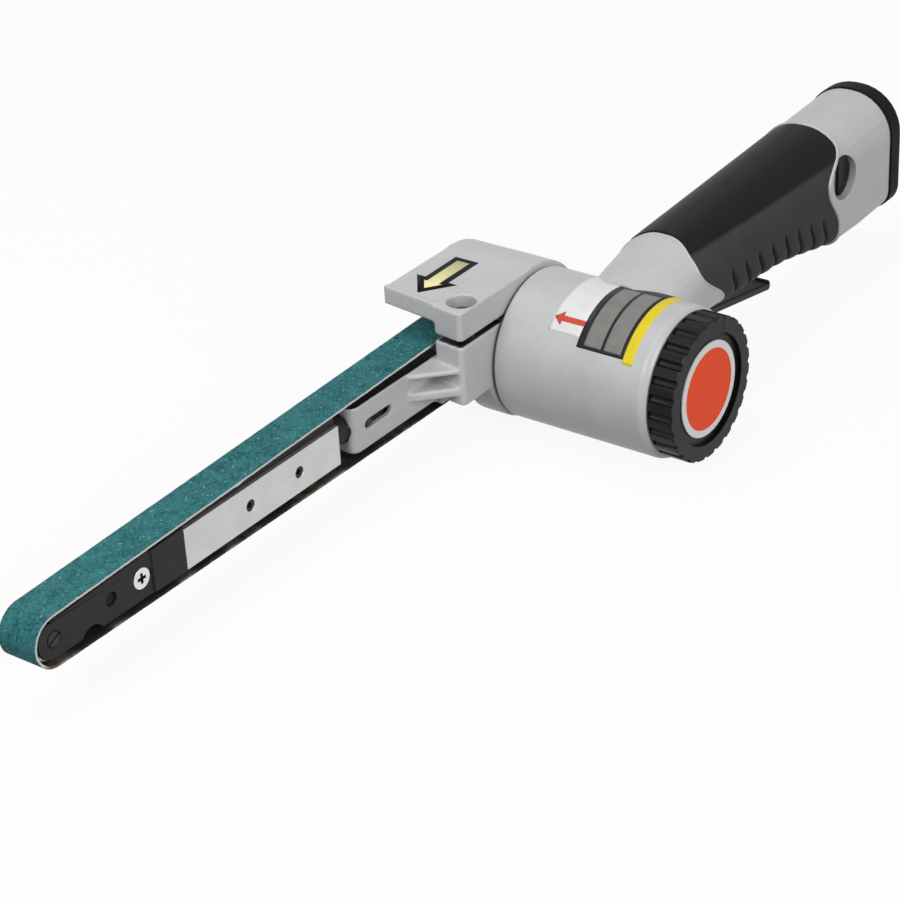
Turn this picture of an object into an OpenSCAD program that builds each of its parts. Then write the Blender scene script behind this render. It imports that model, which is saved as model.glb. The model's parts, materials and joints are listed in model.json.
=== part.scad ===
// Air belt sander: a vane motor lies across a grip handle, and a head that turns on the motor's
// nose carries a spring-loaded arm with a narrow sanding belt.
// Millimetres. Origin at the mouth of the air inlet, +X out of the inlet, +Z up, belt on the +Y side.

/* [Belt] */
// Width of the sanding belt
belt_w = 13; // [11:0.5:14]
// Thickness of the belt with its grit
belt_t = 0.9; // [0.6:0.1:1.2]
// Distance from the motor axis to the tip axle
arm_reach = 197; // [185:1:240]
// Drop of the tip axle below the motor axis
tip_drop = 1.9; // [0:0.1:3]
// Radius of the drive pulley
drive_r = 10.7; // [10:0.1:12]
// Radius of the tip pulley
tip_r = 6.6; // [6:0.1:7.5]

/* [Motor] */
// Outside radius of the motor housing
motor_r = 23.5; // [22.5:0.5:28]
// Length of the motor housing between the head and the lock ring
motor_len = 53.2; // [52:0.2:66]
// Distance from the belt's mid-plane to the housing's front face
seam_y = 20.2; // [19.5:0.1:24]
// Radius of the nose that the head clamps
nose_r = 18; // [16.5:0.25:18.5]
// Radius of the bore for the motor
motor_bore_r = 19.5; // [19:0.25:20.5]
// Radius of the knurled lock ring
ring_r = 22.2; // [21.2:0.2:23.4]
// Width of the lock ring
ring_w = 8; // [6:0.5:12]
// Number of scallops round the lock ring
ring_scallops = 26; // [16:1:36]

/* [Head] */
// Outside radius of the head
head_r = 25; // [24.5:0.5:28]
// Reach of the guard's far corner in front of the motor axis
guard_front = 33.6; // [30:0.2:37]
// Reach of the guard past the belt's mid-plane
guard_far = 11.5; // [9:0.5:16]
// Thickness of the guard's top
guard_t = 4; // [3:0.25:5]
// Height of the guard's front lip
lip_h = 5.6; // [5:0.2:9]
// Reach of the clamp block in front of the motor axis
block_front = 37.5; // [36.5:0.5:42]
// Height of the clamp slit above the motor axis
slit_z = 14.4; // [12:0.2:15]
// Width of the clamp slit
slit_h = 1.9; // [1:0.1:2.5]

/* [Arm] */
// Distance from the motor axis to the front of the hollow leg
leg_front = 74.3; // [70:0.5:80]
// Height of the leg
leg_h = 15; // [14:0.25:16]
// Radius of the arm's shank
shank_r = 5; // [4.5:0.1:5.4]
// Length of travel when the tip is pushed back
arm_travel = 5; // [3:0.5:5]
// Gap between the leg and the arm at rest
arm_gap = 5.5; // [5.5:0.25:8]
// Share of the arm in front of the leg that the side plate covers
plate_share = 0.57; // [0.52:0.01:0.62]
// Height of the side plate
plate_h = 12.6; // [11:0.2:13]
// Thickness of the side plate
plate_t = 1.5; // [1:0.1:2]

/* [Handle] */
// Distance from the motor axis to the rear end of the handle casting
handle_len = 145.5; // [140:0.5:165]
// Width of the handle
handle_w = 31; // [29:0.5:32]
// Height of the handle at its rear end
handle_rear_h = 40; // [36:0.2:44]
// Height of the handle behind the motor
handle_front_h = 24.9; // [24:0.1:28]
// Thickness of the rubber grip
grip_t = 3; // [2:0.25:3.5]
// Thickness of the end cap
cap_t = 8.5; // [7:0.5:10]
// Number of grooves under the grip
grip_grooves = 8; // [5:1:9]

/* [Air] */
// Core radius of the inlet thread
inlet_r = 5.9; // [5.4:0.05:6.2]
// Depth of the inlet thread
inlet_depth = 12; // [10:0.5:14]
// Radius of the regulator
regulator_r = 7.2; // [6:0.1:7.6]
// Radius of the throttle valve's stem
stem_r = 2; // [1.5:0.1:2.4]
// Distance from the motor axis to the throttle valve
valve_x = 50; // [47:0.5:53]

/* [Lever] */
// Length of the throttle lever from its pin
lever_len = 54; // [50:1:60]
// Width of the throttle lever
lever_w = 9; // [8:0.5:12]
// Thickness of the throttle lever
lever_t = 2.4; // [2:0.2:3.4]
// Slope of the lever below the handle at rest
lever_slope = 10; // [9.5:0.5:11]

/* [Hidden] */
$fn = 96;

// Fits: a turning or sliding fit, pieces fixed in each other, seats, and one overrun for all cuts
run_gap = 0.06;
fit_gap = 0.03;
seat_gap = 0.3;
over = 1;

// Belt loop: two circles with their outer tangents
drive_belt_r = drive_r + seat_gap + belt_t;
tip_belt_r = tip_r + seat_gap + belt_t;
span = sqrt(arm_reach * arm_reach + tip_drop * tip_drop);
span_angle = 180 + atan2(tip_drop, arm_reach);
wrap_angle = acos((drive_belt_r - tip_belt_r) / span);
top_angle = span_angle - wrap_angle;
low_angle = span_angle + wrap_angle;
tip_point = [-arm_reach, -tip_drop];
loop_steps = 40;

// Motor along -Y from the seam
seam = -seam_y;
ring_y = seam - motor_len;
seam_gap = 0.8;
nose_len = 11.5;
nose_face = seam + nose_len;
housing_wall = 6;
plate_disc_t = 5;
rear_plate_t = 6;
spigot_len = 5;
motor_floor = seam - housing_wall;
liner_front = motor_floor - plate_disc_t;
spigot_face = ring_y + spigot_len;
liner_rear = spigot_face + rear_plate_t;
shaft_r = 4;
rear_shaft_r = 3;
liner_ecc = 1.4;
liner_wall = 2;
liner_bore_r = motor_bore_r - fit_gap - liner_wall - liner_ecc;
rotor_r = liner_bore_r - liner_ecc - seat_gap;
vane_count = 4;
vane_t = 2;
vane_depth = 6.5;
rotor_end_gap = 0.2;
bearing_r = 11;
bearing_w = 7;
rear_bearing_r = 8;
rear_bearing_w = 4;
housing_fillet = 3;
seam_edge = 1;
ring_recess_r = 17.3;
ring_recess = 1.2;
ring_edge = 0.35;
scallop_r = 1.3;
scallop_depth = 1.1;
disc_r = 14.8;
disc_t = 0.5;
shaft_hole_gap = 1;

// Head
guard_z = head_r - seat_gap;
collar_step = 1;
collar_r = head_r - collar_step;
head_near = seam + seam_gap;
head_wall = nose_face;
front_slant = (block_front - guard_front) / (guard_far - head_near);
function front_x(y) = -guard_front - front_slant * (guard_far - y);
lip_t = 3;
block_bottom = 5.8;
block_corner = 1.6;
block_back = 4;
guard_corner = 5;
guard_rear_drop = 21;
rim_h = 0.6;
rim_t = 1.4;
cowl_front = 16;
collar_edge = 1.5;
clamp_x = -29.5;
clamp_y = -14.3;
clamp_r = 2.5;
clamp_head_r = 4.2;
clamp_head_h = 3;
clamp_sink_r = 4.5;
clamp_sink = 7;
clamp_len = 18;
hex_key_r = 2;
hex_key_depth = 2.4;
leg_z = -0.6;
leg_near = -7;
leg_far = 6;
leg_back = 14.5;
leg_round = 3;
leg_bore_len = 35;
slot_h = 3;
rib_front = 48;
rib_edge = 1;
rib_t = 1.7;
low_rib_t = 3;
rib_z = 5.6;
low_rib_z = -1;
web_near = 1.5;

// Arm, plate and tip fork
arm_clear = 1.1;
arm_back = leg_front + arm_gap;
plate_len = (arm_reach - arm_back) * plate_share;
fork_back = arm_back + plate_len;
fork_len = arm_reach - fork_back;
fork_screw_share = 0.663;
fork_recess_share = 0.429;
fork_arch_share = 0.268;
fork_step_share = 0.258;
fork_screw_x = -arm_reach + fork_len * fork_screw_share;
fork_recess_x = -arm_reach + fork_len * fork_recess_share;
fork_arch_x = -arm_reach + fork_len * fork_arch_share;
fork_step_len = fork_len * fork_step_share;
arm_half_w = 4.7;
shank_in = 16.5;
shank_core_share = 0.8;
pin_r = 1.3;
pin_in = 8;
pin_sink = 0.4;
slot_spare = 7.5;
slot_room = 2.2;
slot_front = leg_front - pin_in + slot_room;
slot_back = slot_front - arm_travel - slot_spare;
fork_half_w = arm_half_w + plate_t;
fork_step = 0.5;
tenon_len = 8;
tenon_h = 6;
tenon_half_w = 2.6;
plate_z = -1.65;
plate_hole_r = 1.7;
plate_hole_share = 0.407;
plate_pitch_share = 0.32;
plate_screw_len = 6;
plate_screw_sink = 0.5;
fork_screw_r = 3.1;
fork_screw_shank_r = 1.6;
fork_screw_head = 1.6;
fork_screw_len = 8;
cross_w = 0.9;
cross_share = 0.5;
cross_depth = 1.2;
fork_recess_r = 2;
fork_recess = 1.6;
fork_arch_r = 4.2;
fork_arch_h = 2.9;
axle_r = 1.5;
axle_slot = 0.6;
axle_slot_turn = 25;
axle_head_r = 2.2;
axle_head_t = 1;
axle_ring_gap = 0.15;
tip_half_w = 4.2;
tip_pocket_gap = 0.4;
tip_pocket_back = 2;
tip_crown = 0.15;
tip_bearing_r = 3.2;

// Springs
coil_rings = 8;
coil_sides = 6;
tension_wire = 0.9;
tension_r = 3.6;
tension_turns = 7;
valve_wire = 0.6;
valve_coil_r = 3.2;
valve_turns = 5;

// Handle
handle_y = (seam + ring_y) / 2;
handle_top_front = 29.5;
handle_top_rear = 35.7;
neck_x = 5;
neck_top = 23.6;
neck_h = 22;
neck_steps = 4;
join_x = 28;
handle_corner = 7;
crown_flat = 1;
handle_crown = handle_w / 2 - crown_flat;
// Growth of the handle's height from the motor to its rear end, as shares of the length and of the growth
swell_shares = [[0, 0], [0.1, 0.07], [0.27, 0.2], [0.42, 0.33], [0.52, 0.5], [0.63, 0.74], [0.73, 0.92],
    [0.85, 0.99], [1, 1]];
arc_steps = 9;
section_t = 0.1;
grip_front_top = 27.7;
grip_front_low = 41;
grip_front_z_low = 5;
grip_front_z_top = 22;
grip_crown_z = 25;
grip_crown_rise = 6;
grip_crown_set = 3;
grip_rear_back = 41.9;
grip_rear_x = handle_len - grip_rear_back;
grip_rear_z = 19.5;
grip_rear_rise = 11;
grip_rear_set = 11;
grip_rear_drop = 16.5;
grip_rear_low_set = 7.6;
grip_steps = 36;
grip_proud = 0.5;
groove_w = 2;
groove_pitch = 8.1;
groove_depth = 1;
groove_up = 11;
grip_z_low = -14;
grip_z_top = 44;
lug_w = 3;
lug_r = 4.5;
lug_rise = 11;
pin_x = 33;
pin_z = -1;
lever_pin_r = 1.5;
knuckle_r = 3.4;
tab_h = 1;
lever_end_r = 3;
tab_t = 2.5;
side_gap = 0.3;
air_z = 13;
air_r = 5;
air_front = 60;
link_r = 2.5;
link_back = 70;
port_r = 2;
stub_r = 5.5;
stub_front = 18.6;
stub_back = 36;
exhaust_r = 2.2;
exhaust_y = 9.5;
exhaust_z = 16;
regulator_back = 30.5;
regulator_x = handle_len - regulator_back;
regulator_z = 19;
regulator_len = 12;
regulator_sink = 2.2;
regulator_slot = 1.6;
regulator_slot_depth = 1.8;
regulator_rim = 1.2;
regulator_dish = 0.6;
seal_wire = 0.8;
seal_back = 4;
valve_bore_r = 5.5;
valve_top = 25.5;
bush_len = 14;
bush_chamber_r = 3.4;
bush_chamber = 6;
bush_low = 1;
stem_head_r = 4.2;
stem_head_t = 1.6;
stem_tail = 2.6;
valve_seal_t = 1;
bush_r = 8;
bush_in = 12;
bush_flange_r = 10;
bush_flange_t = 2;
screen_r = 6.6;
screen_len = 7;
screen_wall = 0.7;
felt_wall = 2.2;
felt_r = handle_w / 2 - felt_wall;
felt_len = 6;
cap_edge = 2;
cap_screw_gap = 2;
cap_screw_turn = 36;
cap_screw_y = (felt_r + cap_screw_gap) * sin(cap_screw_turn);
cap_screw_z = (felt_r + cap_screw_gap) * cos(cap_screw_turn);
cap_screw_r = 1.5;
cap_screw_head_r = 2.5;
cap_screw_head = 2.2;
cap_screw_len = 12;
vent_share = 0.25;
vent_r = (felt_r - bush_r) * vent_share;
vent_edge = 0.5;
vent_ring_r = felt_r - vent_r - vent_edge;
vent_count = 12;
washer_r = 7;
washer_t = 1.2;
screw_head_r = 4.2;
screw_head_h = 3.5;
screw_shank_r = 2;
screw_shank_len = 9;
hub_r = 6;
hub_gap = 0.4;
pulley_edge = 0.15;

inlet_x = handle_len + cap_t + bush_flange_t;
crown_y = handle_w / 2 - handle_crown;
corner_y = handle_w / 2 - handle_corner;
// Top, height and underside of the handle at a distance behind the motor axis
function share(x, from, to) = (x - from) / (to - from);
function handle_top(x) = x < join_x
    ? neck_top + (handle_top_front - neck_top) * share(x, neck_x, join_x)
    : handle_top_front + (handle_top_rear - handle_top_front) * share(x, join_x, handle_len);
function handle_h(x) = x < join_x
    ? neck_h + (handle_front_h - neck_h) * share(x, neck_x, join_x)
    : handle_front_h + (handle_rear_h - handle_front_h) * lookup(share(x, join_x, handle_len), swell_shares);
function handle_low(x) = handle_top(x) - handle_h(x);
// Section of the handle at a distance behind the motor axis, grown on all sides, as a list of points
function arc_points(y, z, r, from) = [for (i = [0:arc_steps]) let (a = from + 90 * i / arc_steps)
    [y + r * cos(a), z + r * sin(a)]];
function handle_section(x, grow) = let (up = handle_top(x) - handle_crown, down = handle_low(x) + handle_corner)
    concat(
        arc_points(crown_y, up, handle_crown + grow, 0),
        arc_points(-crown_y, up, handle_crown + grow, 90),
        arc_points(-corner_y, down, handle_corner + grow, 180),
        arc_points(corner_y, down, handle_corner + grow, 270));
neck_stations = [for (i = [0:neck_steps - 1]) neck_x + (join_x - neck_x) * i / neck_steps];
handle_stations = concat(neck_stations, [for (s = swell_shares) join_x + (handle_len - join_x) * s[0]]);
// Faces and heights of the air valves and the fork's screw
regulator_near = handle_y - handle_w / 2 + regulator_sink;
valve_seat_z = handle_low(valve_x) - bush_low + bush_len;
lever_top = pin_z - (valve_x - pin_x) * tan(lever_slope) + lever_t / 2 / cos(lever_slope);
stem_low = lever_top + stem_r * tan(lever_slope) + seat_gap;
link_z = valve_seat_z + link_r + seat_gap;
stem_head_z = valve_seat_z + valve_seal_t + fit_gap;
fork_screw_seat = -fork_half_w + fork_step + fork_screw_head;
// Front and rear edges of the grip, as distances behind the motor axis at a height
function ease(t) = (1 - cos(180 * max(0, min(1, t)))) / 2;
function grip_front_share(z) = ease(share(z, grip_front_z_low, grip_front_z_top));
function grip_front(z) = grip_front_low + (grip_front_top - grip_front_low) * grip_front_share(z)
    + grip_crown_set * ease((z - grip_crown_z) / grip_crown_rise);
function grip_rear(z) = grip_rear_x + grip_rear_set * ease((z - grip_rear_z) / grip_rear_rise)
    + grip_rear_low_set * ease((grip_rear_z - z) / grip_rear_drop);

// Moves the tool so that the mouth of the inlet lies at the origin
module place() {
    translate([-inlet_x, -handle_y, -air_z]) children();
}

// Carries a side view, drawn as x and z, from one y to another
module side(y_from, y_to) {
    translate([0, y_to, 0]) rotate([90, 0, 0]) linear_extrude(y_to - y_from) children();
}

// Round bar along +Y
module bar_y(r, y_from, y_to, x = 0, z = 0) {
    translate([x, y_from, z]) rotate([-90, 0, 0]) cylinder(r = r, h = y_to - y_from);
}

// Round bar along +X
module bar_x(r, x_from, x_to, y = 0, z = 0) {
    translate([x_from, y, z]) rotate([0, 90, 0]) cylinder(r = r, h = x_to - x_from);
}

// Outline of the belt loop, set in from its outer face
module loop(inset) {
    outer = drive_belt_r - inset;
    inner = tip_belt_r - inset;
    polygon(concat(
        [for (i = [0:loop_steps]) let (a = low_angle + (top_angle + 360 - low_angle) * i / loop_steps)
            outer * [cos(a), sin(a)]],
        [for (i = [0:loop_steps]) let (a = top_angle + (low_angle - top_angle) * i / loop_steps)
            tip_point + inner * [cos(a), sin(a)]]));
}

// Strip between two distances in front of the motor axis
module strip(front, back) {
    translate([-front, -head_r]) square([front - back, head_r * 2]);
}

// Rectangle with round corners, from one corner to the opposite one
module round_rect(from, to, r) {
    size = to - from;
    translate(from + [r, 0]) square([size[0] - 2 * r, size[1]]);
    translate(from + [0, r]) square([size[0], size[1] - 2 * r]);
    for (x = [from[0] + r, to[0] - r]) {
        for (y = [from[1] + r, to[1] - r]) translate([x, y]) circle(r);
    }
}

// Thin slice across the handle, drawn at a distance behind the motor axis
module handle_slice(x) {
    translate([x, handle_y, 0]) rotate([90, 0, 90]) linear_extrude(section_t) children();
}

// Handle's flaring bar through all its sections, grown or shrunk on all sides
module handle_bar(grow) {
    points = [for (x = handle_stations) for (p = handle_section(x, grow)) [x, handle_y + p[0], p[1]]];
    n = (arc_steps + 1) * 4;
    last = (len(handle_stations) - 1) * n;
    skin = [for (i = [0:n:last - n]) for (j = [0:n - 1]) let (a = i + j, b = i + (j + 1) % n)
        each [[a, a + n, b], [b, a + n, b + n]]];
    polyhedron(points, concat(skin, [[for (j = [0:n - 1]) j]], [[for (j = [n - 1:-1:0]) last + j]]));
}

// Stretch of the handle that the grip covers, with its curved ends
module grip_zone(gap) {
    steps = [for (i = [0:grip_steps]) grip_z_low + (grip_z_top - grip_z_low) * i / grip_steps];
    side(handle_y - handle_w, handle_y + handle_w) polygon(concat(
        [for (z = steps) [grip_front(z) + gap, z]],
        [for (i = [grip_steps:-1:0]) [grip_rear(steps[i]) - gap, steps[i]]]));
}

// Coil spring along +Z as one closed tube
module coil(r, wire, h, turns) {
    rings = turns * coil_rings;
    rise = h - wire;
    points = [for (i = [0:rings]) for (j = [0:coil_sides - 1])
        let (turn = 360 * i / coil_rings, tube = 360 * j / coil_sides, reach = r + wire / 2 * cos(tube))
        [reach * cos(turn), reach * sin(turn), wire / 2 + rise * i / rings + wire / 2 * sin(tube)]];
    skin = [for (i = [0:rings - 1]) for (j = [0:coil_sides - 1])
        let (a = i * coil_sides + j, b = i * coil_sides + (j + 1) % coil_sides)
        each [[a, b, a + coil_sides], [b, b + coil_sides, a + coil_sides]]];
    last = rings * coil_sides;
    start = [for (j = [1:coil_sides - 2]) [0, j + 1, j]];
    finish = [for (j = [1:coil_sides - 2]) [last, last + j, last + j + 1]];
    polyhedron(points, concat(skin, start, finish));
    echo(coil_least_gap = rise / turns - wire);
}

// Motor housing with the nose that the head turns on
module motor_housing() {
    color("silver") place() difference() {
        rotate([90, 0, 0]) rotate_extrude() motor_outline();
        bar_y(motor_bore_r, ring_y - over, motor_floor);
        bar_y(shaft_r + shaft_hole_gap, motor_floor - over, nose_face + over);
        bar_y(bearing_r + fit_gap, motor_floor - over, motor_floor + bearing_w);
        bar_x(stub_r + fit_gap, stub_front - fit_gap, motor_r + over, handle_y, air_z);
        motor_ports();
    }
}

// Air passages between the handle and the motor's bore
module motor_ports() {
    bar_x(port_r, 0, motor_r, handle_y, air_z);
    bar_x(exhaust_r, 0, motor_r + over, handle_y + exhaust_y, exhaust_z);
}

// Handle casting, with the air passages and the ears for the lever
module handle_body() {
    color("silver") place() difference() {
        union() {
            difference() {
                handle_bar(0);
                grip_zone(0);
            }
            handle_bar(-grip_t);
            for (s = [-1, 1]) lever_lug(s);
        }
        bar_y(motor_r + fit_gap, ring_y, seam);
        bar_x(stub_r + fit_gap, 0, stub_back + fit_gap, handle_y, air_z);
        bar_x(port_r, stub_back, valve_x, handle_y, air_z);
        bar_x(exhaust_r, 0, handle_len - over, handle_y + exhaust_y, exhaust_z);
        bar_x(link_r, valve_x, link_back, handle_y, link_z);
        bar_x(air_r, air_front, handle_len + over, handle_y, air_z);
        bar_x(screen_r + fit_gap, handle_len - bush_in - screen_len, handle_len + over, handle_y, air_z);
        bar_x(bush_r + fit_gap, handle_len - bush_in, handle_len + over, handle_y, air_z);
        bar_x(felt_r + fit_gap, handle_len - felt_len, handle_len + over, handle_y, air_z);
        bar_y(regulator_r + run_gap, handle_y - handle_w, regulator_near + regulator_len + fit_gap,
            regulator_x, regulator_z);
        translate([valve_x, handle_y, -motor_r]) cylinder(r = valve_bore_r, h = motor_r + valve_top);
        bar_y(lever_pin_r + fit_gap, handle_y - handle_w, handle_y + handle_w, pin_x, pin_z);
        cap_screw_places() cylinder(r = cap_screw_r + fit_gap, h = cap_screw_len * 2, center = true);
    }
}

// Hollow stub that joins the handle to the motor housing
module air_stub() {
    color("gray") place() difference() {
        bar_x(stub_r, stub_front, stub_back, handle_y, air_z);
        bar_x(port_r, stub_front - over, stub_back + over, handle_y, air_z);
    }
}

// Half outline of the housing and its nose, with the length counted along -Y
module motor_outline() {
    translate([0, -seam]) square([motor_r - housing_fillet, motor_len]);
    translate([0, -seam + seam_edge]) square([motor_r, motor_len - housing_fillet - seam_edge]);
    translate([motor_r - seam_edge, -seam + seam_edge]) circle(seam_edge);
    translate([motor_r - housing_fillet, -ring_y - housing_fillet]) circle(housing_fillet);
    translate([0, -nose_face]) square([nose_r, nose_len + over]);
}

// One of the two ears that hold the lever's pin
module lever_lug(s) {
    inner = lever_w / 2 + side_gap;
    y_from = s > 0 ? handle_y + inner : handle_y - inner - lug_w;
    side(y_from, y_from + lug_w) {
        translate([pin_x, pin_z]) circle(lug_r);
        translate([pin_x - lug_r, pin_z]) square([lug_r * 2, lug_rise]);
    }
}

// Places of the end cap's screws, drawn along +X
module cap_screw_places() {
    for (s = [-1, 1]) {
        translate([handle_len, handle_y + s * cap_screw_y, air_z + s * cap_screw_z])
            rotate([0, 90, 0]) children();
    }
}

// Rubber sleeve with finger grooves underneath
module grip() {
    color("dimgray") place() difference() {
        intersection() {
            handle_bar(grip_proud);
            grip_zone(fit_gap);
        }
        handle_bar(fit_gap - grip_t);
        for (i = [0:grip_grooves - 1]) grip_groove(grip_rear_x - i * groove_pitch);
        translate([valve_x, handle_y, -motor_r]) cylinder(r = valve_bore_r, h = motor_r + valve_top);
    }
}

// One finger groove round the grip's underside
module grip_groove(x) {
    translate([x - groove_w / 2, handle_y, 0]) rotate([90, 0, 90]) linear_extrude(groove_w) difference() {
        polygon(handle_section(x, over));
        polygon(handle_section(x, grip_proud - groove_depth));
        translate([-handle_w, handle_low(x) + groove_up]) square([handle_w * 2, handle_rear_h]);
    }
}

// Cap that closes the rear end, with exhaust holes round the inlet
module end_cap() {
    color("black") place() difference() {
        hull() {
            handle_slice(handle_len) polygon(handle_section(handle_len, grip_proud));
            handle_slice(handle_len + cap_t - cap_edge) polygon(handle_section(handle_len, grip_proud));
            handle_slice(handle_len + cap_t - section_t) polygon(handle_section(handle_len, -cap_edge));
        }
        bar_x(bush_r + fit_gap, handle_len - over, inlet_x, handle_y, air_z);
        for (i = [0:vent_count - 1]) {
            translate([handle_len - over, handle_y, air_z]) rotate([(i + 0.5) * 360 / vent_count, 0, 0])
                bar_x(vent_r, 0, cap_t + over * 2, 0, vent_ring_r);
        }
        cap_screw_places() cylinder(r = cap_screw_r + fit_gap, h = cap_screw_len * 2, center = true);
        cap_screw_places() translate([0, 0, cap_t - cap_screw_head])
            cylinder(r = cap_screw_head_r + fit_gap, h = cap_screw_len);
    }
}

// Screws of the end cap
module cap_screws() {
    color("darkgray") place() cap_screw_places() difference() {
        union() {
            translate([0, 0, cap_t - cap_screw_head + fit_gap])
                cylinder(r = cap_screw_head_r, h = cap_screw_head - fit_gap);
            translate([0, 0, cap_t - cap_screw_len]) cylinder(r = cap_screw_r, h = cap_screw_len - over);
        }
        translate([0, 0, cap_t - hex_key_depth / 2]) cylinder(r = hex_key_r * 3 / 4, h = hex_key_depth, $fn = 6);
    }
}

// Threaded bush for the air fitting
module inlet_bush() {
    color("silver") place() difference() {
        union() {
            bar_x(bush_r, handle_len - bush_in, handle_len + cap_t + fit_gap, handle_y, air_z);
            translate([handle_len + cap_t + fit_gap, handle_y, air_z]) rotate([0, 90, 0])
                cylinder(r = bush_flange_r, h = bush_flange_t - fit_gap, $fn = 6);
        }
        bar_x(inlet_r, inlet_x - inlet_depth, inlet_x + over, handle_y, air_z);
        bar_x(air_r, handle_len - bush_in - over, inlet_x, handle_y, air_z);
    }
}

// Strainer cup behind the bush
module inlet_screen() {
    back = handle_len - bush_in;
    color("darkkhaki") place() difference() {
        bar_x(screen_r, back - screen_len + fit_gap, back - fit_gap, handle_y, air_z);
        bar_x(screen_r - screen_wall, back - screen_len + screen_wall, back + over, handle_y, air_z);
        for (i = [0:vent_count - 1]) {
            translate([0, handle_y, air_z]) rotate([i * 360 / vent_count, 0, 0])
                bar_x(screen_wall, back - screen_len - over, back - screen_len + screen_wall * 2, 0, air_r * 2 / 3);
        }
    }
}

// Felt ring in front of the exhaust holes
module silencer() {
    color("darkslategray") place() difference() {
        bar_x(felt_r, handle_len - felt_len + fit_gap, handle_len - fit_gap, handle_y, air_z);
        bar_x(bush_r + fit_gap, handle_len - felt_len - over, handle_len + over, handle_y, air_z);
    }
}

// Air regulator that turns in the side of the handle
module regulator() {
    color("dimgray") place() difference() {
        bar_y(regulator_r, regulator_near, regulator_near + regulator_len, regulator_x, regulator_z);
        translate([regulator_x, regulator_near + seal_back, regulator_z]) rotate([-90, 0, 0]) rotate_extrude()
            translate([regulator_r - seal_wire, 0]) circle(seal_wire + fit_gap);
        translate([regulator_x - regulator_slot / 2, regulator_near - over, regulator_z - regulator_r])
            cube([regulator_slot, over + regulator_slot_depth, regulator_r * 2]);
        bar_y(regulator_r - regulator_rim, regulator_near - over, regulator_near + regulator_dish,
            regulator_x, regulator_z);
    }
}

// Seal ring in the regulator's groove
module regulator_seal() {
    color("black") place() translate([regulator_x, regulator_near + seal_back, regulator_z]) rotate([-90, 0, 0])
        rotate_extrude() translate([regulator_r - seal_wire, 0]) circle(seal_wire);
}

// Guide bush and seat of the throttle valve
module valve_bush() {
    low = handle_low(valve_x) - bush_low;
    color("goldenrod") place() translate([valve_x, handle_y, low]) difference() {
        cylinder(r = valve_bore_r - fit_gap, h = bush_len);
        translate([0, 0, -over]) cylinder(r = stem_r + run_gap, h = bush_len + over * 2);
        translate([0, 0, bush_len - bush_chamber]) cylinder(r = bush_chamber_r, h = bush_chamber + over);
        bar_x(port_r, -valve_bore_r - over, 0, 0, air_z - low);
    }
}

// Stem that the lever pushes up
module valve_stem() {
    color("silver") place() translate([valve_x, handle_y, 0]) {
        translate([0, 0, stem_low]) cylinder(r = stem_r, h = stem_head_z + stem_head_t + stem_tail - stem_low);
        translate([0, 0, stem_head_z]) cylinder(r = stem_head_r, h = stem_head_t);
    }
}

// Soft washer under the stem's head
module valve_seal() {
    color("black") place() translate([valve_x, handle_y, stem_head_z - valve_seal_t]) difference() {
        cylinder(r = stem_head_r, h = valve_seal_t - fit_gap);
        translate([0, 0, -over]) cylinder(r = stem_r + fit_gap, h = valve_seal_t + over * 2);
    }
}

// Spring that closes the throttle valve
module valve_spring() {
    low = stem_head_z + stem_head_t + fit_gap;
    color("gray") place() translate([valve_x, handle_y, low])
        coil(valve_coil_r, valve_wire, valve_top - fit_gap - low, valve_turns);
}

// Throttle lever with its knuckle and upturned tip
module lever() {
    end_x = lever_len * cos(lever_slope) + tab_t;
    color("black") place() difference() {
        intersection() {
            side(handle_y - lever_w / 2, handle_y + lever_w / 2) translate([pin_x, pin_z]) rotate(-lever_slope) {
                circle(knuckle_r);
                translate([0, -lever_t / 2]) square([lever_len, lever_t]);
                translate([lever_len - lever_t / 2, 0]) circle(lever_t / 2);
                translate([lever_len, -lever_t / 2]) rotate(lever_slope * 2) square([tab_t, tab_h + lever_t / 2]);
            }
            translate([pin_x, handle_y, pin_z - lever_len]) linear_extrude(lever_len * 2)
                round_rect([-knuckle_r - lever_end_r, -lever_w / 2], [end_x, lever_w / 2], lever_end_r);
        }
        bar_y(lever_pin_r + run_gap, handle_y - lever_w, handle_y + lever_w, pin_x, pin_z);
    }
}

// Pin of the lever, through both ears
module lever_pin() {
    half = lever_w / 2 + side_gap + lug_w;
    color("gray") place() bar_y(lever_pin_r, handle_y - half, handle_y + half, pin_x, pin_z);
}

// Knurled ring that closes the motor
module lock_ring() {
    color("black") place() difference() {
        union() {
            rotate([90, 0, 0]) translate([0, 0, -ring_y]) rotate_extrude() difference() {
                square([ring_r, ring_w]);
                translate([ring_r, ring_w]) rotate(45) square(ring_edge * sqrt(2), center = true);
            }
            bar_y(motor_bore_r - fit_gap, ring_y - over, spigot_face - fit_gap);
        }
        for (i = [0:ring_scallops - 1]) {
            rotate([0, i * 360 / ring_scallops, 0])
                bar_y(scallop_r, ring_y - ring_w - over, ring_y - ring_edge, ring_r + scallop_r - scallop_depth);
        }
        bar_y(ring_recess_r, ring_y - ring_w - over, ring_y - ring_w + ring_recess);
        bar_y(rear_bearing_r, spigot_face - spigot_len / 2, spigot_face + over);
    }
}

// Flat disc in the lock ring's face
module end_disc() {
    floor_y = ring_y - ring_w + ring_recess;
    color("white") place() bar_y(disc_r, floor_y - disc_t, floor_y);
}

// Motor cylinder with its bore off centre
module liner() {
    color("lightgray") place() difference() {
        bar_y(motor_bore_r - fit_gap, liner_rear + fit_gap, liner_front - fit_gap);
        bar_y(liner_bore_r, liner_rear - over, liner_front + over, 0, liner_ecc);
        motor_ports();
    }
}

// Front end plate of the motor
module front_plate() {
    color("gray") place() difference() {
        bar_y(motor_bore_r - fit_gap, liner_front, motor_floor - fit_gap);
        bar_y(shaft_r + run_gap, liner_front - over, motor_floor + over);
    }
}

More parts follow.
